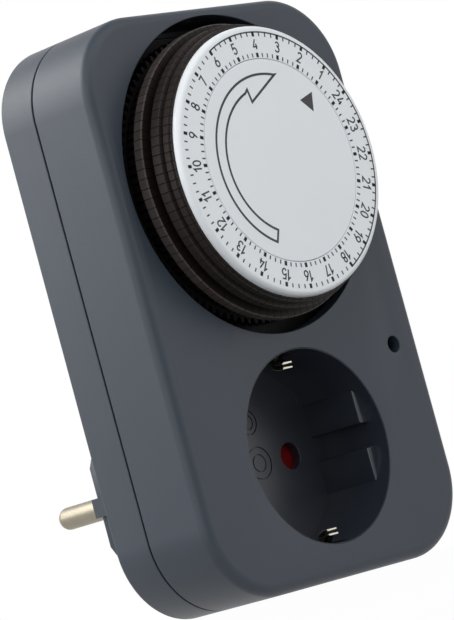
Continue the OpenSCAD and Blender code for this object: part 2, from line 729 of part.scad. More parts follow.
// ---------- switch ----------
module switch_lever() color("#e6e2d6") difference() {
    x0 = trip_at[0] - lever_w / 2;
    union() {
        translate([x0, pivot_y, pivot_z]) rotate([0, 90, 0]) cylinder(r = lever_hub_r, h = lever_w);
        block(x0, x0 + lever_w, pivot_y - 1.2, pivot_y + 0.8, trip_at[1] - 0.8, pivot_z);
        block(x0, x0 + lever_w, nose_y, pivot_y, trip_at[1] - 1.2, trip_at[1] + 1.2);
        translate([x0, nose_y, trip_at[1]]) rotate([0, 90, 0]) cylinder(r = nose_tip_r, h = lever_w);
        translate([x0, pusher_y, trip_at[1]]) rotate([0, 90, 0]) cylinder(r = pusher_r, h = lever_w);
    }
    translate([x0 - 1, pivot_y, pivot_z]) rotate([0, 90, 0])
        cylinder(r = pivot_r + run_fit, h = lever_w + 2);
}
module lever_pin() color("#b0b0ac")
    translate([trip_at[0], pivot_y, pivot_z]) rotate([0, 90, 0])
        cylinder(r = pivot_r, h = lever_w + 2 * (ear_gap + ear_t), center = true);
module contact_leaf() color("#c9a54a") {
    block(trip_at[0] - leaf_w / 2, trip_at[0] + leaf_w / 2,
        leaf_y, leaf_y + leaf_t, leaf_tip_z, leaf_root_z);
    rod(trip_at[0], rivet_z, rivet_r, leaf_y + leaf_t, leaf_y + leaf_t + rivet_t);
}
module fixed_contact() color("#c9a54a") {
    strip_y = fixed_y + rivet_t;
    rod(trip_at[0], rivet_z, rivet_r, fixed_y, strip_y);
    block(trip_at[0] - bus_w / 2, trip_at[0] + bus_w / 2, strip_y, strip_y + bus_t, foot_z, rivet_z + 2);
    block(trip_at[0] - bus_w / 2, trip_at[0] + bus_w / 2, strip_y, bus_y + bus_t, foot_z, foot_z + bus_t);
}
module switch_block() color("#8a2f2a")
    block(trip_at[0] - leaf_w / 2 - 1, out_x + out_w, plate_back_y, leaf_y,
        leaf_root_z + gap, leaf_root_z + root_h + 1);

// ---------- motor and gears ----------
module motor_can() color("#a9adb0") difference() {
    rod(rotor_at[0], rotor_at[1], motor_r, motor_y, motor_back_y);
    rod(rotor_at[0], rotor_at[1], motor_r - can_t, motor_y - 1, motor_back_y - can_t);
    rod(rotor_at[0], rotor_at[1], axle_r + run_fit, motor_y - 1, motor_back_y + 1);
}
module motor_coil() color("#b5651d")
    turned(rotor_at[0], rotor_at[1], [
        [coil_in_r, motor_y + 0.1], [coil_out_r, motor_y + 0.1], [coil_out_r, motor_y + 0.8],
        [coil_out_r - 0.6, motor_y + 0.8], [coil_out_r - 0.6, motor_back_y - can_t - 0.8],
        [coil_out_r, motor_back_y - can_t - 0.8], [coil_out_r, motor_back_y - can_t],
        [coil_in_r, motor_back_y - can_t]]);
// Two wires, from the neutral sleeve and from the line strip up to the motor
lead_r = 0.3;
lead_y = bus_y + bus_t / 2;
lead_x = 2;
function can_low_z(x) = rotor_at[1] - sqrt(motor_r * motor_r - pow(x - rotor_at[0], 2)) - gap;
module motor_leads() color("#7a1f1a") {
    start_z = turn_z + bus_w / 2;
    translate([-half_pitch, lead_y, clip_r])
        cylinder(r = lead_r, h = can_low_z(-half_pitch) - clip_r);
    translate([lead_x, lead_y, start_z]) cylinder(r = lead_r, h = can_low_z(lead_x - lead_r) - start_z);
    translate([lead_x, lead_y, start_z]) sphere(lead_r);
    translate([lead_x, lead_y, start_z]) rotate([0, 90, 0])
        cylinder(r = lead_r, h = half_pitch - bus_w / 2 - lead_x);
}
// Magnet, shaft and pinion of the motor
module rotor() color("#3a3a3c") {
    turned(rotor_at[0], rotor_at[1], [
        [0, plate_back_y - 0.9], [axle_r, plate_back_y - 0.9], [axle_r, high_y + gear_t],
        [neck_r, high_y + gear_t], [neck_r, motor_y + magnet_gap], [magnet_r, motor_y + magnet_gap],
        [magnet_r, motor_back_y - can_t - magnet_gap], [axle_r, motor_back_y - can_t - magnet_gap],
        [axle_r, motor_back_y - 0.1], [0, motor_back_y - 0.1]]);
    gear(rotor_at[0], rotor_at[1], small_teeth, gear_module, rotor_dir + 180, high_y, high_y + gear_t);
}
module wheel_one() color("#dcd7c6") difference() {
    union() {
        gear(one_at[0], one_at[1], wheel_teeth, gear_module, rotor_dir + 180 / wheel_teeth,
            high_y, high_y + gear_t);
        gear(one_at[0], one_at[1], small_teeth, gear_module, one_dir + 180, mid_y, high_y + 0.1);
    }
    rod(one_at[0], one_at[1], axle_r + run_fit, low_y, gear_cover_y);
}
module wheel_two() color("#dcd7c6") difference() {
    union() {
        gear(two_at[0], two_at[1], wheel_teeth, gear_module, one_dir + 180 / wheel_teeth,
            mid_y, mid_y + gear_t);
        gear(two_at[0], two_at[1], small_teeth, gear_module, two_dir + 180, low_y, mid_y + 0.1);
    }
    rod(two_at[0], two_at[1], axle_r + run_fit, low_y - 1, gear_cover_y);
}
// Output wheel with its shaft through the plate
module output_wheel() color("#dcd7c6") {
    gear(output_at[0], output_at[1], output_teeth, gear_module, two_dir + 180 / output_teeth,
        low_y, low_y + gear_t);
    rod(output_at[0], output_at[1], shaft_r, drum_base_y - 0.6, gear_cover_y - 0.1);
}
module output_pinion() color("#2c2826") difference() {
    gear(output_at[0], output_at[1], pinion_teeth, dial_module, output_dir + 180 + 180 / pinion_teeth,
        drum_base_y, plate_y - 0.2);
    rod(output_at[0], output_at[1], shaft_r + run_fit, drum_base_y - 1, plate_y);
}
module gear_axles() color("#b0b0ac") {
    rod(one_at[0], one_at[1], axle_r, plate_back_y - 1, gear_cover_y + gear_cover_t);
    rod(two_at[0], two_at[1], axle_r, plate_back_y - 1, gear_cover_y + gear_cover_t);
}
output_cover_r = 8.6;
two_cover_r = 9;
module gear_cover() color("#c8ccc8") difference() {
    slab(gear_cover_y, gear_cover_y + gear_cover_t) union() {
        translate(rotor_at) circle(motor_r);
        translate(two_at) circle(two_cover_r);
        translate(output_at) circle(output_cover_r);
        for (p = cover_pillars) translate(p) circle(3);
    }
    rod(rotor_at[0], rotor_at[1], coil_in_r, gear_cover_y - 1, motor_y + 1);
    for (p = [one_at, two_at]) rod(p[0], p[1], axle_r, gear_cover_y - 1, motor_y + 1);
}

front_shell();
rear_shell();
case_screws();
front_screw();
socket_cup();
shutter();
shutter_spring();
shutter_cover();
contact_line();
contact_neutral();
contact_carrier();
earth_bar();
earth_clip_top();
earth_clip_bottom();
line_pin();
neutral_pin();
bus_line_in();
bus_line_out();
bus_neutral();
mechanism_plate();
plate_screws();
center_post();
dial_washer();
dial_drum();
number_ring();
center_disc();
switch_lever();
lever_pin();
contact_leaf();
fixed_contact();
switch_block();
motor_can();
motor_coil();
motor_leads();
rotor();
wheel_one();
wheel_two();
output_wheel();
output_pinion();
gear_axles();
gear_cover();
for (g = [0 : groups - 1])
    segment_group(g);
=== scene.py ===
"""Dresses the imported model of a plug-in timer switch: casing, socket, dial, segments, pins and stage."""
import json
import math

import bmesh
import bpy
from mathutils import Matrix, Vector


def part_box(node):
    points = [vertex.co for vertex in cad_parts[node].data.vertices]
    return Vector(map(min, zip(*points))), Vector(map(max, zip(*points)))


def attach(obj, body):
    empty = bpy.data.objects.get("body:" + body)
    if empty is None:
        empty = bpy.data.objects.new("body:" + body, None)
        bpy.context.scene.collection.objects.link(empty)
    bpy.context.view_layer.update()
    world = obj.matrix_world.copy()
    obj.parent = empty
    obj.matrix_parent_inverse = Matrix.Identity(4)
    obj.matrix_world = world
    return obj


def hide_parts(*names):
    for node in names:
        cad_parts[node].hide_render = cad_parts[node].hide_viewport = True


bl_info = {
    "name": "Plug-in timer switch",
    "version": (1, 0, 0),
    "blender": (4, 5, 0),
    "location": "View3D > Sidebar > Timer Switch",
    "description": "Builds the visible pieces and finishes of a mechanical plug-in timer switch",
    "category": "Add Mesh",
}

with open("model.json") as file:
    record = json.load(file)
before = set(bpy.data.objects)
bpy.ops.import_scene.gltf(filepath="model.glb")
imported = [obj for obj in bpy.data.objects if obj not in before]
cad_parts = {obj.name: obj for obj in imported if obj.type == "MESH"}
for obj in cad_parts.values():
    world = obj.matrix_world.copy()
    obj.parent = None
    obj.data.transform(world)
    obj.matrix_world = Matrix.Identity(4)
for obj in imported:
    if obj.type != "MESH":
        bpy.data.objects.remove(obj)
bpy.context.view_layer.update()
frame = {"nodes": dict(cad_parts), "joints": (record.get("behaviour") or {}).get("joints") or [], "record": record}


def middle_of(node_name):
    """Middle of a node's box, seen along Y: x and z."""
    low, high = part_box(node_name)
    return (low[0] + high[0]) / 2, (low[2] + high[2]) / 2


MM = 0.001
# Places on the front, as x and z
DIAL = tuple(Vector(next(j["pos_m"] for j in frame["joints"] if j["name"] == "dial_turn")).xz)
FRONT_SCREW = middle_of("front_screw")
(_, FRONT_Y, CASE_LOW), (HALF_WIDTH, SPLIT_FRONT_Y, CASE_HIGH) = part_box("front_shell")
SPLIT_BACK_Y = SPLIT_FRONT_Y + 0.3 * MM
LIP_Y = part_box("rear_shell")[0][1]
BACK_Y = next(m["pos_m"][1] for m in frame["record"]["mounts"] if m["name"] == "back_face")
DIAL_FACE_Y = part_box("number_ring")[0][1]
# The white face lies this far back, so that the ink on it doesn't stand past the solids
PRINT_RISE = 0.03 * MM
INK_DEPTH = 0.005 * MM
INK_LAYER = (DIAL_FACE_Y + PRINT_RISE + INK_DEPTH, DIAL_FACE_Y)
PIN_X = middle_of("line_pin")[0]
SCREW_LOW, SCREW_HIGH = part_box("case_screws")
SCREW_RADIUS, SCREW_HEAD = 2.7 * MM, 1.8 * MM
SCREW_SEAT_Y = SCREW_HIGH[1] - SCREW_HEAD
SCREW_PLACES = [
    (x, z) for x in (SCREW_LOW[0] + SCREW_RADIUS, SCREW_HIGH[0] - SCREW_RADIUS)
    for z in (SCREW_LOW[2] + SCREW_RADIUS, SCREW_HIGH[2] - SCREW_RADIUS)]
# Plane where the posts of the two shells meet
POST_Y = BACK_Y - 10 * MM
# How far a cutter stands past the face that it cuts
PAST = 1 * MM
CORNER_STEPS = 32
# Degrees from one segment to the next, and of the gap between them
SEGMENT_STEP, SEGMENT_GAP = 3.75, 0.2
BLOCK_SEGMENTS = 8
# Steps of a segment's side from its front edge to its flange, in mm: out from the rim, back from the front
SEGMENT_TIERS = (
    (-0.12, 0), (0, 0.12), (0, 0.6), (0.4, 0.68), (0.4, 2.1), (-0.2, 2.2), (-0.2, 2.55),
    (1.0, 2.65), (1.15, 2.8), (1.2, 4.75), (-1.1, 4.95))
# Plain round marks on the well floor, in mm: x, z, outer radius, inner radius
FLOOR_MARKS = (
    (0.1, 0.0, 3.5, 3.2), (0.1, 0.0, 1.9, 1.65), (-0.3, 8.7, 2.7, 2.42), (-0.3, 8.7, 1.6, 1.35))
BLOCK_NODES = sorted(
    (name for name in frame["nodes"] if name.startswith("segments_")),
    key=lambda name: int(name.split("_")[1]))


# ---------- settings a user would change ----------
def linear(code):
    """Turns an sRGB hex value into the linear colour that the shaders use."""
    parts = [int(code[i:i + 2], 16) / 255 for i in (1, 3, 5)]
    return tuple(p / 12.92 if p <= 0.04045 else ((p + 0.055) / 1.055) ** 2.4 for p in parts) + (1.0,)


def length(name, description, default):
    return bpy.props.FloatProperty(
        name=name, description=description, default=default * MM, unit="LENGTH", precision=5)


def colour(name, description, default):
    return bpy.props.FloatVectorProperty(
        name=name, description=description, default=linear(default), size=4, subtype="COLOR",
        min=0.0, max=1.0)


def level(name, description, default, **limits):
    return bpy.props.FloatProperty(name=name, description=description, default=default, min=0.0, **limits)


class CasingSettings(bpy.types.PropertyGroup):
    """Sizes and colour of the two-part casing"""
    corner_radius: length("Corner radius", "Radius of the four upright corners", 16.7)
    front_round: length("Front rounding", "Rounding of the front edge", 2.2)
    back_round: length("Back rounding", "Rounding of the back edge", 0.8)
    wall: length("Wall", "Wall thickness of both shells", 2.0)
    opening_radius: length("Dial opening", "Radius of the round opening around the dial", 33.3)
    collar_depth: length("Collar depth", "Depth of the collar behind the dial opening", 3.6)
    socket_radius: length("Socket opening", "Radius of the socket opening", 20.25)
    rim_round: length("Rim rounding", "Small rounding where an opening meets the front face", 0.25)
    parting: length("Parting line", "Width of the line between the two shells", 0.4)
    boss_radius: length("Boss radius", "Radius of the plug boss", 18.7)
    boss_flat: length("Boss flat", "Half distance between the flats of the plug boss", 16.7)
    boss_rib: length("Boss rib", "Width of the guide rib on each flat", 4.0)
    plastic: colour("Casing plastic", "Colour of the moulded casing", "#2C3540")


class SocketSettings(bpy.types.PropertyGroup):
    """Sizes and colours of the socket insert"""
    well_radius: length("Well radius", "Radius of the well", 19.65)
    pad_flat: length("Pad distance", "Half distance between the flat pads", 17.1)
    pad_start: length("Pad start", "Depth at which the pads begin", 3.2)
    pad_round: length("Pad rounding", "Rounding of the front end of a pad", 0.6)
    groove_width: length("Groove width", "Width of the guide groove between the pads", 5.0)
    hole_radius: length("Hole radius", "Radius of a pin hole", 2.8)
    clip_width: length("Clip width", "Width of an earth clip in the well", 2.8)
    plastic: colour("Socket plastic", "Colour of the socket insert", "#272C36")
    shutter: colour("Shutter plastic", "Colour of the child-safety shutter", "#6E0000")


class DialSettings(bpy.types.PropertyGroup):
    """Sizes and colours of the dial"""
    ring_radius: length("Ring radius", "Outer radius of the number ring", 28.1)
    face_radius: length("Face radius", "Radius at which the flat face ends", 27.1)
    disc_radius: length("Disc radius", "Radius of the fixed centre disc", 21.0)
    outer_tick: length("Outer ticks", "Radius of the middle of the outer ticks", 26.15)
    inner_tick: length("Inner ticks", "Radius of the middle of the inner ticks", 21.8)
    tick_length: length("Tick length", "Length of a tick", 0.95)
    tick_width: length("Tick width", "Width of a quarter-hour tick", 0.29)
    hour_tick_width: length("Hour tick width", "Width of an hour tick", 0.68)
    number_radius: length("Number radius", "Radius of the middle of the numbers", 24.05)
    number_height: length("Number height", "Height of a figure", 2.1)
    number_stroke: length("Number stroke", "Line width of a figure", 0.32)
    arrow_stroke: length("Arrow stroke", "Line width of the direction arrow", 0.5)
    zero_angle: bpy.props.FloatProperty(
        name="Zero angle", description="Angle of hour zero, counter-clockwise from the right",
        default=math.radians(26.75), subtype="ANGLE")
    white: colour("Dial white", "Colour of the number ring and disc", "#E7ECF0")
    ink: colour("Ink", "Colour of the print", "#26252A")
    segment: colour("Segment plastic", "Colour of the switching segments", "#150E0C")


class StageSettings(bpy.types.PropertyGroup):
    """Light levels of the stage"""
    top_power: level("Top light", "Power of the soft box above the front", 1.9)
    front_power: level("Front light", "Power of the soft box at the right of the front", 1.5)
    left_power: level("Left light", "Power of the soft box at the left of the front", 2.5)
    side_power: level("Side light", "Power of the soft box behind the left side", 3.2)
    back_power: level("Back light", "Power of the high soft box behind the object", 2.6)
    sky_level: level("Sky level", "Strength of the even light from all around", 0.36)
    gloss_share: level("Gloss share", "How much of the white room shows in glossy surfaces", 0.2, max=1.0)


# ---------- node and material helpers ----------
def add(tree, kind, inputs=None, **settings):
    """Adds one node to a tree, with its settings, and with its inputs filled or linked."""
    made = tree.nodes.new(kind)
    for key, value in settings.items():
        setattr(made, key, value)
    for key, value in (inputs or {}).items():
        if isinstance(value, bpy.types.NodeSocket):
            tree.links.new(value, made.inputs[key])
        else:
            made.inputs[key].default_value = value
    return made


def new_material(name, inputs):
    """A material whose Principled shader has these constant inputs. Returns it with its tree and shader."""
    material = bpy.data.materials.new(name)
    material.use_nodes = True
    tree = material.node_tree
    shader = tree.nodes["Principled BSDF"]
    for key, value in inputs.items():
        shader.inputs[key].default_value = value
    return material, tree, shader


def grain(tree, size_mm, detail=2.0, stretch=(1, 1, 1)):
    """Noise on object coordinates, with features about this many millimetres wide."""
    place = add(tree, "ShaderNodeTexCoord")
    turned = add(tree, "ShaderNodeMapping", {"Vector": place.outputs["Object"], "Scale": stretch})
    return add(tree, "ShaderNodeTexNoise", {
        "Vector": turned.outputs["Vector"], "Scale": 1 / (size_mm * MM), "Detail": detail}).outputs["Fac"]


def shade(rgba, factor):
    return tuple(c * factor for c in rgba[:3]) + (1.0,)


def surface(name, inputs, colours, cloud, fine=None, speck=None, rough=None, relief=None):
    """A material of two colours, blended by a broad grain or by the socket that a function adds.
    A fine grain, or else the same one, can speck the colour, vary the roughness and raise the surface.
    A grain is given as size in mm, detail and stretch, and relief as depth in mm and strength."""
    material, tree, shader = new_material(name, inputs)
    cloud = grain(tree, *cloud) if isinstance(cloud, tuple) else cloud(tree)
    fine = grain(tree, *fine) if fine else cloud
    blend = add(tree, "ShaderNodeMix", {0: cloud, 6: colours[0], 7: colours[1]}, data_type="RGBA")
    if speck:
        dots = add(tree, "ShaderNodeMapRange", {"Value": fine, "To Min": speck[0], "To Max": speck[1]})
        blend = add(tree, "ShaderNodeMix", {0: 1.0, 6: blend.outputs[2], 7: dots.outputs["Result"]},
                    data_type="RGBA", blend_type="MULTIPLY")
    tree.links.new(blend.outputs[2], shader.inputs["Base Color"])
    if rough:
        levels = add(tree, "ShaderNodeMapRange", {"Value": fine, "To Min": rough[0], "To Max": rough[1]})
        tree.links.new(levels.outputs["Result"], shader.inputs["Roughness"])
    if relief:
        raised = add(tree, "ShaderNodeBump", {
            "Height": fine, "Distance": relief[0] * MM, "Strength": relief[1]})
        tree.links.new(raised.outputs["Normal"], shader.inputs["Normal"])
    return material


def moulded_abs(settings):
    """Injection-moulded ABS from a spark-eroded mould: a fine, even, slightly silky grain."""
    body = settings.plastic
    # The real grain is about 0.05 mm; it is drawn at 0.3 mm so that it shows
    return surface(
        "moulded_abs_anthracite", {"IOR": 1.53, "Roughness": 0.44, "Specular IOR Level": 0.42},
        (shade(body, 0.93), shade(body, 1.07)), (14, 3.0), fine=(0.3,), speck=(0.78, 1.22),
        rough=(0.36, 0.54), relief=(0.03, 0.7))


def polished_polycarbonate(settings):
    """Black polycarbonate of the socket insert from a polished mould: smooth, with soft reflections."""
    body = settings.plastic
    return surface("polished_polycarbonate_black", {"IOR": 1.58, "Roughness": 0.3},
                   (shade(body, 0.85), body), (6,), rough=(0.25, 0.36), relief=(0.03, 0.3))


def shutter_plastic(settings):
    """Red acetal of the shutter: waxy, even and a little translucent."""
    body = settings.shutter
    return surface("red_acetal", {
        "IOR": 1.48, "Roughness": 0.4, "Specular IOR Level": 0.2, "Subsurface Weight": 0.1,
        "Subsurface Scale": 0.5 * MM}, (shade(body, 0.9), body), (3,))


def dial_plastic(settings):
    """Satin white polystyrene of the dial: cool white, with a soft even sheen."""
    body = settings.white
    return surface("satin_polystyrene_white", {"IOR": 1.59, "Roughness": 0.38},
                   (shade(body, 0.975), body), (9,), fine=(0.3, 1.0), relief=(0.006, 0.4))


def printing_ink(settings):
    """Pad-printed ink: thin, matt and slightly uneven in density."""
    body = settings.ink
    return surface(
        "pad_printing_ink", {"IOR": 1.5, "Roughness": 0.55}, (body, shade(body, 1.6)), (0.5, 3.0))


def rubbed_amount(tree):
    """Painted light: the flange and outer tiers of a segment are painted lighter grey where light would fall, and
    the grooves keep the dark colour, so they read as in shade.
    """
    tone, rubbed = (
        add(tree, "ShaderNodeAttribute", attribute_name=name).outputs["Fac"] for name in ("tone", "rubbed"))
    share = add(tree, "ShaderNodeMapRange", {"Value": tone, "To Min": 0.85, "To Max": 1.15}).outputs["Result"]
    return add(tree, "ShaderNodeMath", {0: rubbed, 1: share}, operation="MULTIPLY").outputs[0]


def segment_polyamide(settings):
    """Brown-black polyamide of the segments: satin, each piece a slightly different shade, flange and outer tiers
    painted lighter as painted light.
    """
    # The second colour is the grey of the painted light on the flange and outer tiers
    return surface(
        "segment_polyamide_brown", {"IOR": 1.5, "Roughness": 0.5, "Specular IOR Level": 0.2},
        (settings.segment, linear("#453F3D")), rubbed_amount, fine=(0.8, 3.0), rough=(0.42, 0.6),
        relief=(0.015, 0.5))


def plain_plastic(name, code, roughness, grain_mm=2.0):
    """Unpolished moulded plastic of an inner piece: a soft grain and a slight cloudiness."""
    body = linear(code)
    return surface(name, {"IOR": 1.5, "Roughness": roughness, "Specular IOR Level": 0.3},
                   (shade(body, 0.85), body), (grain_mm, 3.0), relief=(0.02, 0.3))


def worked_metal(name, code, roughness, line_mm, stretch):
    """Metal with fine drawing or turning marks along one direction and slight stains."""
    body = linear(code)
    return surface(
        name, {"Metallic": 1.0, "Roughness": roughness}, (shade(body, 0.82), body), (3.0, 3.0),
        fine=(line_mm, 3.0, stretch), rough=(roughness * 0.7, roughness * 1.3), relief=(0.01, 0.4))


# Finishes that have a colour among the settings
SET_FINISHES = {
    "casing": (moulded_abs, "timer_casing"), "socket": (polished_polycarbonate, "timer_socket"),
    "shutter": (shutter_plastic, "timer_socket"), "dial": (dial_plastic, "timer_dial"),
    "ink": (printing_ink, "timer_dial"), "segment": (segment_polyamide, "timer_dial")}
# Name, colour, roughness and, for one, the width of its grain in mm
PLASTICS = {
    # Black acetal of the drum and pinion; on the steel mechanism plate the same dark finish is painted shade
    "drum": ("moulded_acetal_black", "#0E0C0C", 0.55),
    "inner_black": ("moulded_polyamide_black", "#24272B", 0.45),
    "ivory": ("moulded_polyamide_ivory", "#D9D5C6", 0.5),
    "nylon": ("moulded_acetal_natural", "#E2DED0", 0.35),
    "phenolic": ("pressed_phenolic_brown", "#7A3A2C", 0.5),
    "tape": ("polyester_tape_amber", "#B8802A", 0.3),
    "lead": ("silicone_sleeve_red", "#7A1F1A", 0.45),
    "ferrite": ("pressed_ferrite", "#37373A", 0.6, 0.6)}
# Name, colour, roughness, width of the marks in mm, and how they are squeezed along X, Y and Z
METALS = {
    "pin": ("nickel_plated_brass_turned", "#9B9484", 0.42, 0.12, (1, 6, 1)),
    "earth": ("nickel_plated_spring_steel", "#D2CEC0", 0.2, 0.2, (6, 1, 1)),
    "zinc": ("zinc_plated_steel", "#BFC1BE", 0.34, 0.3, (1, 1, 1)),
    "turned_steel": ("turned_steel", "#A6A8AA", 0.28, 0.12, (1, 6, 1)),
    "spring": ("drawn_spring_steel", "#B8B8B4", 0.25, 0.1, (1, 1, 4)),
    "brass": ("rolled_brass", "#C8A552", 0.3, 0.2, (1, 4, 1)),
    "copper": ("rolled_copper", "#B9774F", 0.32, 0.2, (1, 4, 1)),
    "black_oxide": ("black_oxide_steel", "#2B2C2E", 0.4, 0.2, (1, 1, 1))}
FINISHES = {}


def shared(name):
    """The finish of that name, made once."""
    if name not in FINISHES:
        if name in SET_FINISHES:
            maker, group = SET_FINISHES[name]
            FINISHES[name] = maker(getattr(bpy.context.scene, group))
        else:
            FINISHES[name] = (
                plain_plastic(*PLASTICS[name]) if name in PLASTICS else worked_metal(*METALS[name]))
    return FINISHES[name]


# ---------- mesh helpers ----------
def placed(name, data):
    """Puts new data into the scene as an object at the origin."""
    made = bpy.data.objects.new(name, data)
    bpy.context.scene.collection.objects.link(made)
    return made


def finish_mesh(name, mesh, sharp_degrees=32):
    """Makes an object of a mesh, smooth apart from its real edges."""
    mesh.shade_smooth()
    mesh.set_sharp_from_angle(angle=math.radians(sharp_degrees))
    return placed(name, mesh)


def mesh_from(build, name):
    """Runs a function on an empty bmesh and returns the mesh, with its faces pointing outwards."""
    bm = bmesh.new()
    build(bm)
    bmesh.ops.remove_doubles(bm, verts=bm.verts, dist=1e-7)
    bmesh.ops.recalc_face_normals(bm, faces=bm.faces)
    mesh = bpy.data.meshes.new(name)
    bm.to_mesh(mesh)
    bm.free()
    return mesh


def loft(bm, loops, ring=False):
    """Joins equal loops of points into a closed skin. A ring joins its last loop to the first."""
    rows = [[bm.verts.new(p) for p in loop] for loop in loops]
    for low, high in zip(rows, rows[1:] + (rows[:1] if ring else [])):
        for i in range(len(low)):
            j = (i + 1) % len(low)
            bm.faces.new((low[i], low[j], high[j], high[i]))
    if not ring:
        bm.faces.new(rows[0][::-1])
        bm.faces.new(rows[-1])


def lofted(name, loops, ring=False):
    return mesh_from(lambda bm: loft(bm, loops, ring), name)


def turned_mesh(x, z, outline, steps=96, ring=False, name="turned"):
    """Turns an outline of (radius, y) points about a line along Y."""
    angles = [i * math.tau / steps for i in range(steps)]
    return lofted(name, [[
        (x + radius * math.cos(a), y, z + radius * math.sin(a)) for a in angles]
        for radius, y in outline], ring)


def fill_box(bm, low, high):
    """Adds a plain box between two corners."""
    bmesh.ops.create_cube(bm, size=1.0)
    for vert in bm.verts:
        vert.co = Vector((lo + (hi - lo) * (c + 0.5) for c, lo, hi in zip(vert.co, low, high)))


def box_mesh(low, high):
    return mesh_from(lambda bm: fill_box(bm, low, high), "box")


def arc_steps(first, last, steps):
    return [first + (last - first) * i / steps for i in range(steps + 1)]


def quarter_round(steps):
    """Cosine and sine of even steps from 0 to 90 degrees."""
    return [(math.cos(a), math.sin(a)) for a in arc_steps(0, math.pi / 2, steps)]


def rounded_edge(radius, y_plane, y_sign, hold, steps=8):
    """(inset, y) steps of a quarter round that ends on a plane, with a narrow flat ring after it."""
    return [(radius * (1 - c), y_plane + y_sign * radius * (1 - s)) for c, s in quarter_round(steps)] + [
        (radius + hold, y_plane)]


def case_loop(inset, y):
    """Loop of the casing's rounded rectangle, drawn in by an inset, at one depth."""
    corner = bpy.context.scene.timer_casing.corner_radius
    centre_z = (CASE_LOW + CASE_HIGH) / 2
    half_x = HALF_WIDTH - corner
    half_z = (CASE_HIGH - CASE_LOW) / 2 - corner
    radius = corner - inset
    return [
        (sx * half_x + radius * math.cos(a), y, centre_z + sz * half_z + radius * math.sin(a))
        for sx, sz, start in ((1, 1, 0), (-1, 1, 90), (-1, -1, 180), (1, -1, 270))
        for a in arc_steps(math.radians(start), math.radians(start + 90), CORNER_STEPS)]


def case_mesh(name, places, ring=False):
    """A closed mesh over loops of the casing's outline, given as (inset, y) steps."""
    return lofted(name, [case_loop(inset, y) for inset, y in places], ring)


def baked(obj):
    """The mesh of an object with its modifiers applied."""
    graph = bpy.context.evaluated_depsgraph_get()
    graph.update()
    return bpy.data.meshes.new_from_object(obj.evaluated_get(graph))


def combine(base, tools, operation):
    """Adds or cuts closed meshes on a closed mesh, one after another, and returns the plain result."""
    host = placed("host", base)
    helpers = [placed("tool", tool) for tool in tools]
    for helper in helpers:
        change = host.modifiers.new("change", "BOOLEAN")
        change.operation = operation
        change.solver = "EXACT"
        change.object = helper
    result = baked(host)
    for helper in helpers + [host]:
        bpy.data.objects.remove(helper)
    return result


def joined(name, meshes):
    """One mesh that holds several closed ones."""
    bm = bmesh.new()
    for mesh in meshes:
        bm.from_mesh(mesh)
    out = bpy.data.meshes.new(name)
    bm.to_mesh(out)
    bm.free()
    return out


def show(name, mesh, finish, body, *nodes, slot=None, sharp_degrees=32):
    """Shows a mesh, or some as one, with its finish, the body it rides on and the nodes it stands for."""
    piece = finish_mesh(name, joined(name, mesh) if isinstance(mesh, list) else mesh, sharp_degrees)
    piece.data.materials.clear()
    piece.data.materials.append(shared(finish))
    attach(piece, body)
    if nodes:
        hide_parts(*nodes)


# ---------- geometry nodes ----------
def ring_tree(material):
    """Geometry Nodes tree that sets copies of its geometry around the Y axis, each with its own tone."""
    tree = bpy.data.node_groups.new("copies_around_axis", "GeometryNodeTree")
    for way, name, kind in (
            ("INPUT", "Geometry", "Geometry"), ("INPUT", "Count", "Int"), ("INPUT", "First angle", "Float"),
            ("INPUT", "Step angle", "Float"), ("INPUT", "Seed", "Int"), ("OUTPUT", "Geometry", "Geometry")):
        tree.interface.new_socket(name, in_out=way, socket_type="NodeSocket" + kind)
    given = add(tree, "NodeGroupInput").outputs
    points = add(tree, "GeometryNodePoints", {"Count": given["Count"]})
    index = add(tree, "GeometryNodeInputIndex")
    turn = add(tree, "ShaderNodeMath", {
        0: index.outputs["Index"], 1: given["Step angle"], 2: given["First angle"]}, operation="MULTIPLY_ADD")
    back = add(tree, "ShaderNodeMath", {0: turn.outputs[0], 1: -1.0}, operation="MULTIPLY")
    euler = add(tree, "ShaderNodeCombineXYZ", {"Y": back.outputs[0]})
    copies = add(tree, "GeometryNodeInstanceOnPoints", {
        "Points": points.outputs["Points"], "Instance": given["Geometry"],
        "Rotation": euler.outputs["Vector"]})
    tone = add(tree, "FunctionNodeRandomValue", {"Seed": given["Seed"]}, data_type="FLOAT")
    stored = add(tree, "GeometryNodeStoreNamedAttribute", {
        "Geometry": copies.outputs["Instances"], "Name": "tone", "Value": tone.outputs[1]},
        data_type="FLOAT", domain="INSTANCE")
    real = add(tree, "GeometryNodeRealizeInstances", {"Geometry": stored.outputs["Geometry"]})
    painted = add(tree, "GeometryNodeSetMaterial", {
        "Geometry": real.outputs["Geometry"], "Material": material})
    add(tree, "NodeGroupOutput", {"Geometry": painted.outputs["Geometry"]})
    return tree


def ring_of_copies(mesh, tree, count, first, step, seed=0):
    """Runs the ring tree on a mesh that stands at the origin, and returns the plain mesh at the dial."""
    host = placed("host", mesh)
    change = host.modifiers.new("copies", "NODES")
    change.node_group = tree
    values = {"Count": count, "First angle": first, "Step angle": step, "Seed": seed}
    for item in tree.interface.items_tree:
        if item.in_out == "INPUT" and item.name in values:
            change[item.identifier] = values[item.name]
    result = baked(host)
    bpy.data.objects.remove(host)
    result.transform(Matrix.Translation((DIAL[0], 0, DIAL[1])))
    return result


class TimerOperator:
    """Shared by the operators: each can be undone."""
    bl_options = {"REGISTER", "UNDO"}


# ---------- casing ----------
def opening_cutter(x, z, radius, depth, rim, steps=128):
    """Cutter of a round opening in the front face, with a small rounding at the face."""
    outline = [(radius + rim + PAST, FRONT_Y - PAST), (radius + rim, FRONT_Y)]
    outline += [(radius + rim * (1 - s), FRONT_Y + rim * (1 - c)) for c, s in quarter_round(4)][1:]
    return turned_mesh(x, z, outline + [(radius, FRONT_Y + depth)], steps)


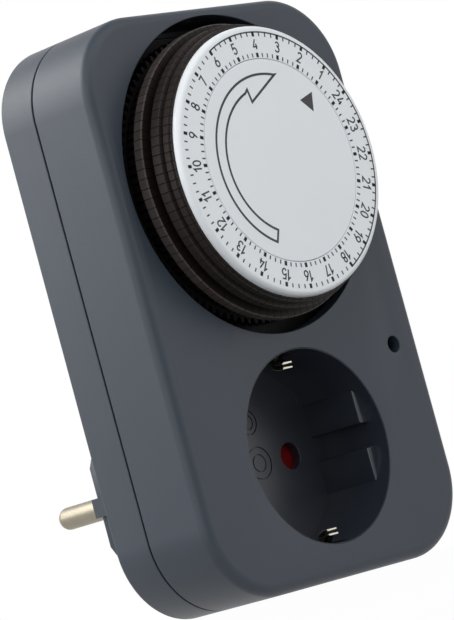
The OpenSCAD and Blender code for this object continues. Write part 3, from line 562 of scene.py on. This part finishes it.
def parting_edge(casing, side):
    """First (inset, y) steps of a shell at the parting line, with a small chamfer. Side -1 is the front."""
    edge_y = (SPLIT_FRONT_Y + SPLIT_BACK_Y) / 2 + side * casing.parting / 2
    return [(0.1 * MM, edge_y), (0, edge_y + side * 0.12 * MM)]


class TIMER_OT_front_shell(TimerOperator, bpy.types.Operator):
    """Build the front shell with its openings, collar and screw posts"""
    bl_idname = "timer.front_shell"
    bl_label = "Front shell"

    def execute(self, context):
        casing = context.scene.timer_casing
        radius, inner_y, through = casing.opening_radius, FRONT_Y + casing.wall, 4 * MM
        hole, tube, shank = 1.75 * MM, 3.4 * MM, 1.2 * MM
        body = case_mesh("front_body", parting_edge(casing, -1) + rounded_edge(
            casing.front_round, FRONT_Y, 1, 0.1 * MM))
        shell = combine(body, [
            case_mesh("cavity", [(casing.wall, inner_y), (casing.wall, SPLIT_FRONT_Y + PAST)]),
            opening_cutter(*DIAL, radius, through, casing.rim_round),
            opening_cutter(0, 0, casing.socket_radius, through, casing.rim_round * 0.5),
            opening_cutter(*FRONT_SCREW, hole, 3 * MM, casing.rim_round, 48)], "DIFFERENCE")
        collar, collar_y = radius + 1.3 * MM, FRONT_Y + casing.collar_depth
        meshes = [shell, turned_mesh(*DIAL, [
            (radius, inner_y), (collar, inner_y), (collar, collar_y), (radius, collar_y)], 128, ring=True)]
        seat_y, tube_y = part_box("front_screw")[0][1] + 1.7 * MM, FRONT_Y + 13 * MM
        meshes.append(turned_mesh(*FRONT_SCREW, [
            (hole, inner_y), (tube, inner_y), (tube, tube_y), (shank, tube_y), (shank, seat_y),
            (hole, seat_y)], 48, ring=True))
        post, bore, bore_y = 3 * MM, 1.5 * MM, SCREW_LOW[1] - 0.5 * MM
        meshes += [
            turned_mesh(x, z, [(post, inner_y), (post, POST_Y), (bore, POST_Y), (bore, bore_y)], 32)
            for x, z in SCREW_PLACES]
        show("front_shell_look", meshes, "casing", "casing", "front_shell", slot="casing_plastic")
        return {"FINISHED"}


def boss_loop(casing, inset, y, steps=20):
    """Loop of the plug boss: round above and below, a flat with a rib at each side."""
    radius, flat = casing.boss_radius - inset, casing.boss_flat - inset
    half_rib = casing.boss_rib / 2
    top_angle = math.acos(flat / radius)
    rib_x = math.sqrt(radius ** 2 - half_rib ** 2)
    points = []
    for side in (1, -1):
        points += [(side * rib_x, y, -side * half_rib), (side * rib_x, y, side * half_rib),
                   (side * flat, y, side * half_rib)]
        points += [(side * radius * math.cos(a), y, side * radius * math.sin(a))
                   for a in arc_steps(top_angle, math.pi - top_angle, steps)]
        points.append((-side * flat, y, side * half_rib))
    return points


class TIMER_OT_rear_shell(TimerOperator, bpy.types.Operator):
    """Build the rear shell with its lip, plug boss, pin holes and screw recesses"""
    bl_idname = "timer.rear_shell"
    bl_label = "Rear shell"

    def execute(self, context):
        casing = context.scene.timer_casing
        inner_y, lead_y = BACK_Y - casing.wall, -0.3 * MM
        body = case_mesh("rear_body", parting_edge(casing, 1) + rounded_edge(
            casing.back_round, BACK_Y, -1, 0.1 * MM, 5))
        boss = lofted("boss", [boss_loop(casing, 0, BACK_Y - PAST)] + [
            boss_loop(casing, inset, y) for inset, y in rounded_edge(0.5 * MM, 0.0, -1, 0.05 * MM, 4)])
        hollow, hole, head, post, shank = 14.4 * MM, 2.45 * MM, 2.8 * MM, 4 * MM, 1.55 * MM
        cutters = [
            case_mesh("cavity", [(casing.wall, SPLIT_BACK_Y - PAST), (casing.wall, inner_y)]),
            turned_mesh(0, 0, [(hollow, inner_y - PAST), (hollow, -3 * MM)], 64)]
        for side in (-1, 1):
            cutters.append(turned_mesh(side * PIN_X, 0, [
                (hole, -4 * MM), (hole, lead_y), (2.75 * MM, 0), (3.75 * MM, PAST)], 48))
            z0, z1 = sorted((side * 17.75 * MM, side * 21 * MM))
            cutters.append(box_mesh((-2.3 * MM, inner_y - PAST, z0), (2.3 * MM, PAST, z1)))
        cutters += [
            turned_mesh(x, z, [(head, SCREW_SEAT_Y), (head, BACK_Y + lead_y), (3.1 * MM, BACK_Y),
                               (4.1 * MM, BACK_Y + PAST)], 48)
            for x, z in SCREW_PLACES]
        shell = combine(combine(body, [boss], "UNION"), cutters, "DIFFERENCE")
        outer, inner, foot_y = casing.wall + 0.1 * MM, casing.wall + 1.1 * MM, SPLIT_BACK_Y + 2 * MM
        lip = case_mesh("lip", [
            (outer, SPLIT_BACK_Y), (outer, LIP_Y), (inner, LIP_Y), (inner, foot_y),
            (outer, foot_y)], ring=True)
        posts = [
            turned_mesh(x, z, [(head, inner_y), (post, inner_y), (post, POST_Y), (shank, POST_Y),
                               (shank, SCREW_SEAT_Y), (head, SCREW_SEAT_Y)], 32, ring=True)
            for x, z in SCREW_PLACES]
        show("rear_shell_look", [shell, lip] + posts, "casing", "casing", "rear_shell", slot="casing_plastic")
        return {"FINISHED"}


# ---------- socket ----------
def pad_mesh(side_x, side_z):
    """One flat pad of the well, with a rounded front end and softened ends."""
    socket = bpy.context.scene.timer_socket
    front_y, inner, outer = FRONT_Y + socket.pad_start, side_x * socket.pad_flat, side_x * 21 * MM
    z0, z1 = sorted((side_z * socket.groove_width / 2, side_z * 9.9 * MM))
    x0, x1 = sorted((inner, outer))

    def build(bm):
        fill_box(bm, (x0, front_y, z0), (x1, FRONT_Y + 19 * MM, z1))
        front_edge = [e for e in bm.edges if all(
            abs(v.co.y - front_y) < 1e-6 and abs(v.co.x - inner) < 1e-6 for v in e.verts)]
        bmesh.ops.bevel(bm, geom=front_edge, offset=socket.pad_round, segments=8, profile=0.5,
                        affect="EDGES")
        side_edges = [e for e in bm.edges if e.is_manifold and e.calc_face_angle(0) > 1.0
                      and abs(e.verts[0].co.z - e.verts[1].co.z) < 1e-7
                      and all(abs(v.co.x - outer) > 1e-5 for v in e.verts)]
        bmesh.ops.bevel(bm, geom=side_edges, offset=0.5 * MM, segments=3, profile=0.5, affect="EDGES")
    return mesh_from(build, "pad")


class TIMER_OT_socket(TimerOperator, bpy.types.Operator):
    """Build the socket insert: well, pads, grooves, pin holes and plain floor marks"""
    bl_idname = "timer.socket"
    bl_label = "Socket insert"

    def execute(self, context):
        socket = context.scene.timer_socket
        low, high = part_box("socket_cup")
        front_y, back_y, radius = low[1], high[1], high[0]
        floor_y, above_y, below_y = (FRONT_Y + depth * MM for depth in (17.7, 17.6, 18.0))
        sleeve, hole = 20.2 * MM, socket.hole_radius
        mouth = sleeve - 0.12 * MM
        well = combine(turned_mesh(0, 0, [
            (mouth, FRONT_Y - PAST), (mouth, FRONT_Y + 0.3 * MM), (socket.well_radius, FRONT_Y + 3 * MM),
            (socket.well_radius, floor_y)], 128, name="well"),
            [pad_mesh(sx, sz) for sx in (-1, 1) for sz in (-1, 1)], "DIFFERENCE")
        cup = turned_mesh(0, 0, [
            (sleeve - 0.05 * MM, FRONT_Y + 0.12 * MM), (sleeve, FRONT_Y + 0.17 * MM),
            (sleeve, FRONT_Y + 2.1 * MM), (radius, FRONT_Y + 2.1 * MM), (radius, back_y)], 128, name="cup")
        cutters = [well]
        for side in (-1, 1):
            cutters.append(turned_mesh(side * PIN_X, 0, [
                (2.95 * MM, above_y), (2.85 * MM, floor_y), (hole, floor_y + 0.05 * MM),
                (hole, back_y + PAST)], 64))
            z0, z1 = sorted((side * 16 * MM, side * 22 * MM))
            cutters.append(box_mesh((-2.7 * MM, front_y + 0.3 * MM, z0), (2.7 * MM, back_y + PAST, z1)))
        for mark in FLOOR_MARKS:
            x, z, outer, inner = (size * MM for size in mark)
            cutters.append(turned_mesh(x, z, [
                (outer, above_y), (inner, above_y), (inner, below_y), (outer, below_y)], 64, ring=True))
        show("socket_insert", combine(cup, cutters, "DIFFERENCE"), "socket", "casing", "socket_cup",
             slot="socket_plastic", sharp_degrees=25)
        return {"FINISHED"}


def bent_strip(corners, thickness, width, bend):
    """A flat strip in the YZ plane along corner points, with round bends and softened edges."""
    corners = [Vector(corner) for corner in corners]
    points = corners[:1]
    for before, here, after in zip(corners, corners[1:], corners[2:]):
        into, out = (here - before).normalized(), (after - here).normalized()
        cut = min(bend, (here - before).length * 0.45, (after - here).length * 0.45)
        start, end = here - into * cut, here + out * cut
        points += [start.lerp(here, t).lerp(here.lerp(end, t), t) for t in arc_steps(0, 1, 6)]
    half_t, half_w, soft = thickness / 2, width / 2, thickness * 0.3
    last = corners[-1]
    points += [last + (points[-1] - last).normalized() * thickness * 0.3, last]
    section = [(-half_w + soft, -half_t), (half_w - soft, -half_t), (half_w, -half_t + soft),
               (half_w, half_t - soft), (half_w - soft, half_t), (-half_w + soft, half_t),
               (-half_w, half_t - soft), (-half_w, -half_t + soft)]
    loops = []
    for i, point in enumerate(points):
        ahead = points[min(i + 1, len(points) - 1)] - points[max(i - 1, 0)]
        normal = Vector((-ahead.y, ahead.x)).normalized()
        narrow, thin = (0.9, 0.6) if i in (0, len(points) - 1) else (1.0, 1.0)
        loops.append([
            (x * narrow, point.x + normal.x * n * thin, point.y + normal.y * n * thin) for x, n in section])
    return lofted("clip", loops)


class TIMER_OT_earth_clips(TimerOperator, bpy.types.Operator):
    """Build the two sprung earth clips with their strips to the plug boss"""
    bl_idname = "timer.earth_clips"
    bl_label = "Earth clips"

    def execute(self, context):
        clip_width, strip_width = context.scene.timer_socket.clip_width, 4 * MM
        foot_y, nose_y = -25.8 * MM, FRONT_Y + 2.6 * MM
        well_z, strip_z, outer_z, inner_z = 20.6 * MM, 18.07 * MM, 17.9 * MM, 16.9 * MM
        for node_name, side in (("earth_clip_top", 1), ("earth_clip_bottom", -1)):
            strips = (
                ([(foot_y, well_z), (nose_y + 3.4 * MM, well_z), (nose_y + 1.7 * MM, outer_z),
                  (nose_y, outer_z)], 0.55 * MM, clip_width, 0.7 * MM),
                ([(nose_y + 4.4 * MM, well_z - 0.3 * MM), (nose_y + 3.2 * MM, 17.5 * MM),
                  (nose_y + 1.6 * MM, inner_z), (nose_y + 0.15 * MM, inner_z)],
                 0.5 * MM, clip_width, 0.7 * MM),
                ([(foot_y, strip_z), (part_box(node_name)[1][1] - 0.3 * MM, strip_z)],
                 0.6 * MM, strip_width, 0.5 * MM),
                ([(foot_y, 15 * MM), (foot_y, well_z + 0.3 * MM)], 0.6 * MM, strip_width, 0.5 * MM))
            meshes = [bent_strip([(y, side * z) for y, z in path], *sizes) for path, *sizes in strips]
            show(node_name + "_look", meshes, "earth", "casing", node_name, slot="earth_metal",
                 sharp_degrees=40)
        return {"FINISHED"}


class TIMER_OT_pins(TimerOperator, bpy.types.Operator):
    """Build the two turned plug pins"""
    bl_idname = "timer.pins"
    bl_label = "Plug pins"

    def execute(self, context):
        radius, tip, neck, collar, root = 2.4 * MM, 1.9 * MM, 2.2 * MM, 3.6 * MM, 2 * MM
        collar_y, neck_y = -4.5 * MM, -3 * MM
        for node_name, side in (("line_pin", 1), ("neutral_pin", -1)):
            low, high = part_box(node_name)
            outline = [(root, low[1]), (root, collar_y), (collar, collar_y), (collar, neck_y),
                       (neck, neck_y), (neck, 0), (radius, 0)]
            outline += [(radius - tip + tip * c, high[1] - tip + tip * s) for c, s in quarter_round(8)]
            mesh = turned_mesh(side * PIN_X, 0, outline, 64, name=node_name + "_look")
            show(node_name + "_look", mesh, "pin", "casing", node_name, slot="pin_metal", sharp_degrees=30)
        return {"FINISHED"}


# ---------- dial ----------
class TIMER_OT_dial_faces(TimerOperator, bpy.types.Operator):
    """Build the number ring and the fixed centre disc"""
    bl_idname = "timer.dial_faces"
    bl_label = "Dial faces"

    def execute(self, context):
        dial = context.scene.timer_dial
        face_y, back_y = DIAL_FACE_Y + PRINT_RISE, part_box("number_ring")[1][1]
        rim_y = face_y + 1.2 * MM
        face, disc, edge, hub = dial.face_radius, dial.disc_radius, 0.08 * MM, 6 * MM
        inner, round_r = disc + 0.12 * MM, dial.ring_radius - face
        ring = [(inner, back_y), (inner, face_y + edge), (inner + edge, face_y), (face - 0.1 * MM, face_y)]
        ring += [(face + round_r * s, face_y + (rim_y - face_y) * (1 - c)) for c, s in quarter_round(8)]
        show("number_ring_look", turned_mesh(*DIAL, ring + [(dial.ring_radius, back_y)], 192, ring=True),
             "dial", "dial", "number_ring", slot="dial_white", sharp_degrees=28)
        show("center_disc_look", turned_mesh(*DIAL, [
            (hub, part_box("center_disc")[1][1]), (hub, back_y), (disc, back_y), (disc, face_y + edge),
            (disc - edge, face_y), (0.5 * MM, face_y)], 192),
             "dial", "casing", "center_disc", slot="dial_white", sharp_degrees=28)
        return {"FINISHED"}


def ink_plate(corners, name):
    """Thin closed plate of ink over a flat polygon of (x, z) corners."""
    return lofted(name, [[(x, y, z) for x, z in corners] for y in INK_LAYER])


def stroke(bm, path, width, closed):
    """Line of ink of one width along (x, z) points, with mitred corners."""
    ahead = [(after - here).normalized() for here, after in zip(path, path[1:] + path[:1])]
    low_y, high_y = INK_LAYER
    loops = []
    for i, here in enumerate(path):
        into = ahead[i - 1] if closed or i else ahead[0]
        out = ahead[i] if closed or i < len(path) - 1 else into
        normal = Vector((-(into + out).y, (into + out).x)).normalized()
        reach = width / 2 / max(0.25, normal.dot(Vector((-into.y, into.x))))
        left, right = here + normal * reach, here - normal * reach
        loops.append([(side.x, y, side.y) for side, y in (
            (left, low_y), (left, high_y), (right, high_y), (right, low_y))])
    loft(bm, loops, closed)


def stroked(name, path, width, closed=False):
    return mesh_from(lambda bm: stroke(bm, path, width, closed), name)


def polar(radius_mm, degrees):
    """A point on the dial, as x and z."""
    a = math.radians(degrees)
    return Vector((DIAL[0] + radius_mm * MM * math.cos(a), DIAL[1] + radius_mm * MM * math.sin(a)))


def tick_mesh(radius, width, tick_length):
    """One tick on the X axis, ready to be copied around the dial's own axis."""
    half_l, half_w = tick_length / 2, width / 2
    return ink_plate([(radius - half_l, -half_w), (radius + half_l, -half_w),
                      (radius + half_l, half_w), (radius - half_l, half_w)], "tick")


def bow(x, z, width, height, first, last, steps=10):
    """Points of an ellipse arc, in parts of a figure's height."""
    return [Vector((x + width * math.cos(a), z + height * math.sin(a)))
            for a in arc_steps(math.radians(first), math.radians(last), steps)]


def line(*points):
    return [Vector(p) for p in points]


# Plain engineering figures as strokes on a height of 1: whether it is a loop, and its points
FIGURES = {
    "0": [(True, bow(0.28, 0.5, 0.24, 0.5, 0, 340, 17))],
    "1": [(False, line((0.0, 0.72), (0.27, 1.0), (0.27, 0.0)))],
    "2": [(False, bow(0.27, 0.73, 0.25, 0.27, 165, -30) + line((0.02, 0.0), (0.54, 0.0)))],
    "3": [(False, bow(0.26, 0.75, 0.22, 0.25, 155, -70) + bow(0.26, 0.27, 0.26, 0.27, 75, -155))],
    "4": [(False, line((0.34, 1.0), (0.0, 0.26), (0.54, 0.26))), (False, line((0.4, 0.55), (0.4, 0.0)))],
    "5": [(False, line((0.49, 1.0), (0.1, 1.0), (0.05, 0.52)) + bow(0.27, 0.31, 0.25, 0.31, 125, -155))],
    "6": [(True, bow(0.28, 0.29, 0.25, 0.29, 0, 330, 12)), (False, line((0.4, 1.0), (0.07, 0.42)))],
    "7": [(False, line((0.0, 1.0), (0.52, 1.0), (0.17, 0.0)))],
    "8": [(True, bow(0.28, 0.76, 0.2, 0.24, 0, 330, 12)), (True, bow(0.28, 0.27, 0.25, 0.27, 0, 330, 12))],
    "9": [(True, bow(0.28, 0.71, 0.25, 0.29, 0, 330, 12)), (False, line((0.16, 0.0), (0.49, 0.58)))],
}
# Widths of a 1, of the other figures and of the space between two, in parts of the height
NARROW_FIGURE, FIGURE, FIGURE_SPACE = 0.33, 0.56, 0.2


def number_mesh(text, angle):
    """One number on the dial, drawn as strokes, its top pointing outwards."""
    dial = bpy.context.scene.timer_dial
    outwards = Vector((math.cos(angle), math.sin(angle)))
    rightwards = Vector((outwards.y, -outwards.x))
    middle = Vector(DIAL) + outwards * dial.number_radius
    widths = [NARROW_FIGURE if sign == "1" else FIGURE for sign in text]
    left = -(sum(widths) + FIGURE_SPACE * (len(text) - 1)) / 2

    def build(bm):
        start = left
        for sign, width in zip(text, widths):
            for closed, points in FIGURES[sign]:
                path = [middle + (rightwards * (start + p.x) + outwards * (p.y - 0.5)) * dial.number_height
                        for p in points]
                stroke(bm, path, dial.number_stroke, closed)
            start += width + FIGURE_SPACE
    return mesh_from(build, "number")


class TIMER_OT_dial_print(TimerOperator, bpy.types.Operator):
    """Print the ticks, the day bracket and the hour figures on the ring, and the arrow on the disc"""
    bl_idname = "timer.dial_print"
    bl_label = "Dial print"

    def execute(self, context):
        dial = context.scene.timer_dial
        tree = ring_tree(shared("ink"))
        hour = math.tau / 24
        meshes = []
        for radius in (dial.outer_tick, dial.inner_tick):
            for width, part, hours in ((dial.tick_width, 0.9, 0.25), (dial.hour_tick_width, 1, 1)):
                meshes.append(ring_of_copies(
                    tick_mesh(radius, width, dial.tick_length * part), tree, round(24 / hours),
                    dial.zero_angle, hour * hours))
        zero = math.degrees(dial.zero_angle)
        arc_r = (dial.outer_tick + dial.tick_length / 2) / MM
        start, end = ([polar(arc_r - 1.0, zero + turn)] for turn in (90, -90))
        sweep = [polar(arc_r, a) for a in arc_steps(zero + 90, zero - 90, 90)]
        meshes.append(stroked("bracket", start + sweep + end, 0.3 * MM))
        meshes += [number_mesh(str(h), dial.zero_angle + h * hour) for h in range(1, 25)]
        show("dial_print", meshes, "ink", "dial")
        outer = [polar(17.86, a) for a in arc_steps(245.3, 76.5, 60)]
        head = [polar(17.93, 75.4), polar(13.01, 107.4), polar(15.72, 106.3)]
        inner = [polar(15.26, a) for a in arc_steps(110, 245.3, 50)]
        arrow = stroked("arrow", outer + head + inner, dial.arrow_stroke, closed=True)
        pointer = ink_plate([polar(15.21, 48.8), polar(18.99, 42.3), polar(15.70, 33.7)], "pointer")
        show("direction_arrow", [arrow, pointer], "ink", "casing")
        return {"FINISHED"}


def segment_mesh():
    """One switching segment on the X axis: stepped side, softened upright edges, and its tongue."""
    block_low, block_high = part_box(BLOCK_NODES[0])
    front_y, flange_y = block_low[1], FRONT_Y - 0.5 * MM
    inner, rim, flange = 26.65 * MM, 28.4 * MM, 30.75 * MM
    tiers = [(inner, front_y)] + [(rim + out * MM, front_y + back * MM) for out, back in SEGMENT_TIERS] + [
        (rim - 1.1 * MM, flange_y - 2.2 * MM), (30.5 * MM, flange_y - 2.15 * MM),
        (flange, flange_y - 1.9 * MM), (flange, flange_y), (inner, flange_y)]
    half = math.radians(SEGMENT_STEP - SEGMENT_GAP) / 2
    soft = 0.05 * MM
    turn = soft / rim

    def column(angle, pull):
        radii = [(radius - pull if radius > inner else radius, y) for radius, y in tiers]
        return [(r * math.cos(angle), y, r * math.sin(angle)) for r, y in radii]

    def build(bm):
        loft(bm, [column(-half, soft), column(-half + turn, 0), column(half - turn, 0), column(half, soft)])
        tongue, low, high = math.radians(1.25), 26.95 * MM, 28.3 * MM
        corners = [(low, -tongue), (high, -tongue), (high, tongue), (low, tongue)]
        loft(bm, [[(r * math.cos(a), y, r * math.sin(a)) for r, a in corners]
                  for y in (flange_y, block_high[1])])
        # Painted light: the flange is painted lightest, the tiers in front of it a little, the grooves not at all,
        # so they stay dark like shade
        layer = bm.faces.layers.float.new("rubbed")
        for face in bm.faces:
            middle = face.calc_center_median()
            out = math.hypot(middle.x, middle.z) - rim
            tier = out > -0.3 * MM and middle.y < flange_y - 2.3 * MM
            face[layer] = 0.8 if out > 1.4 * MM else 0.2 if tier else 0.0
    return mesh_from(build, "segment")


class TIMER_OT_segments(TimerOperator, bpy.types.Operator):
    """Set the 96 switching segments around the dial, eight in each block"""
    bl_idname = "timer.segments"
    bl_label = "Switching segments"

    def execute(self, context):
        tree = ring_tree(shared("segment"))
        step = math.radians(SEGMENT_STEP)
        bodies = frame["record"]["behaviour"]["bodies"].items()
        for number, node_name in enumerate(BLOCK_NODES):
            first = context.scene.timer_dial.zero_angle + (number * BLOCK_SEGMENTS + 0.5) * step
            mesh = ring_of_copies(segment_mesh(), tree, BLOCK_SEGMENTS, first, step, seed=number)
            body = next(body for body, names in bodies if node_name in names)
            show(node_name + "_look", mesh, "segment", body, node_name, slot="segment_plastic",
                 sharp_degrees=30)
        return {"FINISHED"}


# ---------- screws and inner finishes ----------
def screw_mesh(x, z, head_y, head_r, head_t, shank_r, tip_y, side):
    """Pan-head screw with a cross recess; its head looks toward the side given."""
    top_y, crown = head_y + side * head_t, 0.5 * MM
    outline = [(shank_r * 0.4, tip_y), (shank_r, tip_y + side * 1 * MM), (shank_r, head_y), (head_r, head_y)]
    outline += [(head_r - crown * (1 - c), top_y - side * crown * (1 - s)) for c, s in quarter_round(5)]
    long, thin, deep = head_r * 0.62, head_r * 0.14, head_t * 0.55
    y0, y1 = sorted((top_y - side * deep, top_y + side * PAST))
    slots = [box_mesh((x - a, y0, z - b), (x + a, y1, z + b)) for a, b in ((long, thin), (thin, long))]
    return combine(turned_mesh(x, z, outline, 48), slots, "DIFFERENCE")


class TIMER_OT_screws(TimerOperator, bpy.types.Operator):
    """Build the four casing screws and the screw in the small front hole"""
    bl_idname = "timer.screws"
    bl_label = "Screws"

    def execute(self, context):
        meshes = [
            screw_mesh(x, z, SCREW_SEAT_Y, SCREW_RADIUS, SCREW_HEAD, 1.45 * MM, SCREW_LOW[1], 1)
            for x, z in SCREW_PLACES]
        show("case_screws_look", meshes, "zinc", "casing", "case_screws", slot="screw_steel")
        low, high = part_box("front_screw")
        head = 1.6 * MM
        mesh = screw_mesh(*FRONT_SCREW, low[1] + head, 1.65 * MM, head, 1.1 * MM, high[1], -1)
        show("front_screw_look", mesh, "black_oxide", "casing", "front_screw", slot="black_screw")
        return {"FINISHED"}


NODE_FINISHES = {
    "shutter": "shutter", "spring": "shutter_spring dial_washer", "inner_black": "shutter_cover",
    "brass": "contact_line contact_neutral earth_bar contact_leaf fixed_contact",
    "ivory": "contact_carrier switch_lever", "copper": "bus_line_in bus_line_out bus_neutral",
    # The steel mechanism plate takes the black drum finish as painted shade, so the gap round the dial stays dark
    "drum": "mechanism_plate dial_drum output_pinion", "zinc": "plate_screws motor_can gear_cover",
    "turned_steel": "center_post lever_pin gear_axles", "phenolic": "switch_block",
    "tape": "motor_coil", "lead": "motor_leads", "ferrite": "rotor",
    "nylon": "wheel_one wheel_two output_wheel"}


class TIMER_OT_mechanism(TimerOperator, bpy.types.Operator):
    """Give each piece of the mechanism its finish"""
    bl_idname = "timer.mechanism"
    bl_label = "Mechanism finishes"

    def execute(self, context):
        for finish, node_names in NODE_FINISHES.items():
            for node_name in node_names.split():
                for slot in frame["nodes"][node_name].material_slots:
                    slot.material = shared(finish)
        return {"FINISHED"}


# ---------- stage ----------
CAMERA_PLACE = Vector((-578.34, -593.15, -22.52)) * MM
CAMERA_RIGHT = Vector((0.68327, -0.68167, -0.26165))
CAMERA_UP = Vector((0.13531, -0.23392, 0.96279))
LENS_PER_SENSOR = 3938.66 / 620
SENSOR = 36.0
# In metres: half side of the floor, radius and top of the curved card
FLOOR_HALF, CARD_RADIUS, CARD_TOP = 3.0, 2.6, 3.2
LAMP_AIM = Vector((0, -0.04, 0.03))
# Name, place, the setting of its power, width and height
LAMPS = (
    ("front_box", (0.55, -0.72, 0.3), "front_power", 0.9, 0.7),
    ("top_box", (-0.05, -0.42, 0.5), "top_power", 0.95, 0.6),
    ("left_box", (-0.82, -0.3, 0.3), "left_power", 0.7, 0.7),
    ("side_box", (-0.42, 0.34, 0.36), "side_power", 0.55, 0.55),
    ("back_box", (-0.3, 0.55, 0.72), "back_power", 0.6, 0.6))


def background_rays(tree, gloss):
    """1 for rays from the camera and through glass, and a share for glossy ones."""
    path = add(tree, "ShaderNodeLightPath").outputs
    seen = add(tree, "ShaderNodeMath", {
        0: path["Is Glossy Ray"], 1: gloss, 2: path["Is Camera Ray"]}, operation="MULTIPLY_ADD")
    return add(tree, "ShaderNodeMath", {
        0: seen.outputs[0], 1: path["Is Transmission Ray"]}, operation="ADD", use_clamp=True).outputs[0]


def backdrop_material(name, share):
    """Matt pale card that stays white to the camera, to gloss and through glass, and still takes a shadow."""
    material, tree, shader = new_material(name, {"Base Color": linear("#8A8A8A"), "Roughness": 0.9})
    amount = add(tree, "ShaderNodeMath", {0: background_rays(tree, 1.0), 1: share}, operation="MULTIPLY")
    glow = add(tree, "ShaderNodeEmission", {"Color": (1, 1, 1, 1), "Strength": 1.0})
    mix = add(tree, "ShaderNodeMixShader", {
        0: amount.outputs[0], 1: shader.outputs["BSDF"], 2: glow.outputs["Emission"]})
    tree.links.new(mix.outputs["Shader"], tree.nodes["Material Output"].inputs["Surface"])
    return material


def backdrop(name, low, high, material):
    """A stage piece between two rows of points."""
    def build(bm):
        first, second = ([bm.verts.new(point) for point in row] for row in (low, high))
        for k in range(len(first) - 1):
            bm.faces.new((first[k], second[k], second[k + 1], first[k + 1]))
    piece = finish_mesh(name, mesh_from(build, name))
    piece.data.materials.append(material)


def soft_light(name, place, power, width, height):
    """Large rectangular lamp that looks at the object."""
    data = bpy.data.lights.new(name, "AREA")
    data.shape = "RECTANGLE"
    data.size, data.size_y = width, height
    data.energy = power
    lamp = placed(name, data)
    lamp.location = place
    lamp.rotation_mode = "QUATERNION"
    lamp.rotation_quaternion = (LAMP_AIM - Vector(place)).to_track_quat("-Z", "Y")


class TIMER_OT_stage(TimerOperator, bpy.types.Operator):
    """Set the floor, the even light, the lamps and the camera"""
    bl_idname = "timer.stage"
    bl_label = "Stage"

    def execute(self, context):
        scene = context.scene
        stage = scene.timer_stage
        floor_z = CASE_LOW - 12 * MM
        left, right = (
            [(x, y, floor_z) for y in (-FLOOR_HALF, FLOOR_HALF)] for x in (-FLOOR_HALF, FLOOR_HALF))
        backdrop("floor", left, right, backdrop_material("white_card", 0.98))
        # A tall curved card stands far behind, from the left round to the right
        low, high = ([(CARD_RADIUS * math.cos(a), CARD_RADIUS * math.sin(a), z)
                      for a in arc_steps(-0.1, math.pi + 0.1, 32)] for z in (floor_z, CARD_TOP))
        backdrop("back_card", low, high, backdrop_material("white_back_card", 1.0))
        world = bpy.data.worlds.new("white_room")
        scene.world = world
        world.use_nodes = True
        tree = world.node_tree
        tree.nodes.clear()
        sky, white = (
            add(tree, "ShaderNodeBackground", {"Color": (1, 1, 1, 1), "Strength": strength})
            for strength in (stage.sky_level, 1.0))
        mix = add(tree, "ShaderNodeMixShader", {
            0: background_rays(tree, stage.gloss_share), 1: sky.outputs[0], 2: white.outputs[0]})
        add(tree, "ShaderNodeOutputWorld", {"Surface": mix.outputs[0]})
        for name, place, setting, width, height in LAMPS:
            soft_light(name, place, getattr(stage, setting), width, height)
        data = bpy.data.cameras.new("camera")
        data.sensor_width = SENSOR
        data.lens = LENS_PER_SENSOR * SENSOR
        data.clip_start, data.clip_end = 0.05, 20
        camera = placed("camera", data)
        camera.matrix_world = Matrix.Translation(CAMERA_PLACE) @ Matrix((
            CAMERA_RIGHT, CAMERA_UP, CAMERA_RIGHT.cross(CAMERA_UP))).transposed().to_4x4()
        scene.camera = camera
        scene.view_settings.view_transform = "Standard"
        return {"FINISHED"}


class TIMER_PT_panel(bpy.types.Panel):
    """Lists the timer switch's operators and settings"""
    bl_label = "Timer switch"
    bl_idname = "TIMER_PT_panel"
    bl_space_type = "VIEW_3D"
    bl_region_type = "UI"
    bl_category = "Timer Switch"

    def draw(self, context):
        for group_name in GROUPS:
            group = getattr(context.scene, group_name)
            box = self.layout.box()
            for key in group.__annotations__:
                box.prop(group, key)
        for operator in OPERATORS:
            self.layout.operator(operator.bl_idname)


GROUPS = {"timer_casing": CasingSettings, "timer_socket": SocketSettings,
          "timer_dial": DialSettings, "timer_stage": StageSettings}
OPERATORS = (
    TIMER_OT_stage, TIMER_OT_front_shell, TIMER_OT_rear_shell, TIMER_OT_socket, TIMER_OT_earth_clips,
    TIMER_OT_pins, TIMER_OT_dial_faces, TIMER_OT_dial_print, TIMER_OT_segments, TIMER_OT_screws,
    TIMER_OT_mechanism)


def register():
    for name, group in GROUPS.items():
        bpy.utils.register_class(group)
        setattr(bpy.types.Scene, name, bpy.props.PointerProperty(type=group))
    for shown in OPERATORS + (TIMER_PT_panel,):
        bpy.utils.register_class(shown)


def unregister():
    for shown in (TIMER_PT_panel,) + OPERATORS[::-1]:
        bpy.utils.unregister_class(shown)
    for name, group in GROUPS.items():
        delattr(bpy.types.Scene, name)
        bpy.utils.unregister_class(group)


def main():
    register()
    for operator in OPERATORS:
        group, call = operator.bl_idname.split(".")
        getattr(getattr(bpy.ops, group), call)()


if __name__ == "__main__":
    main()
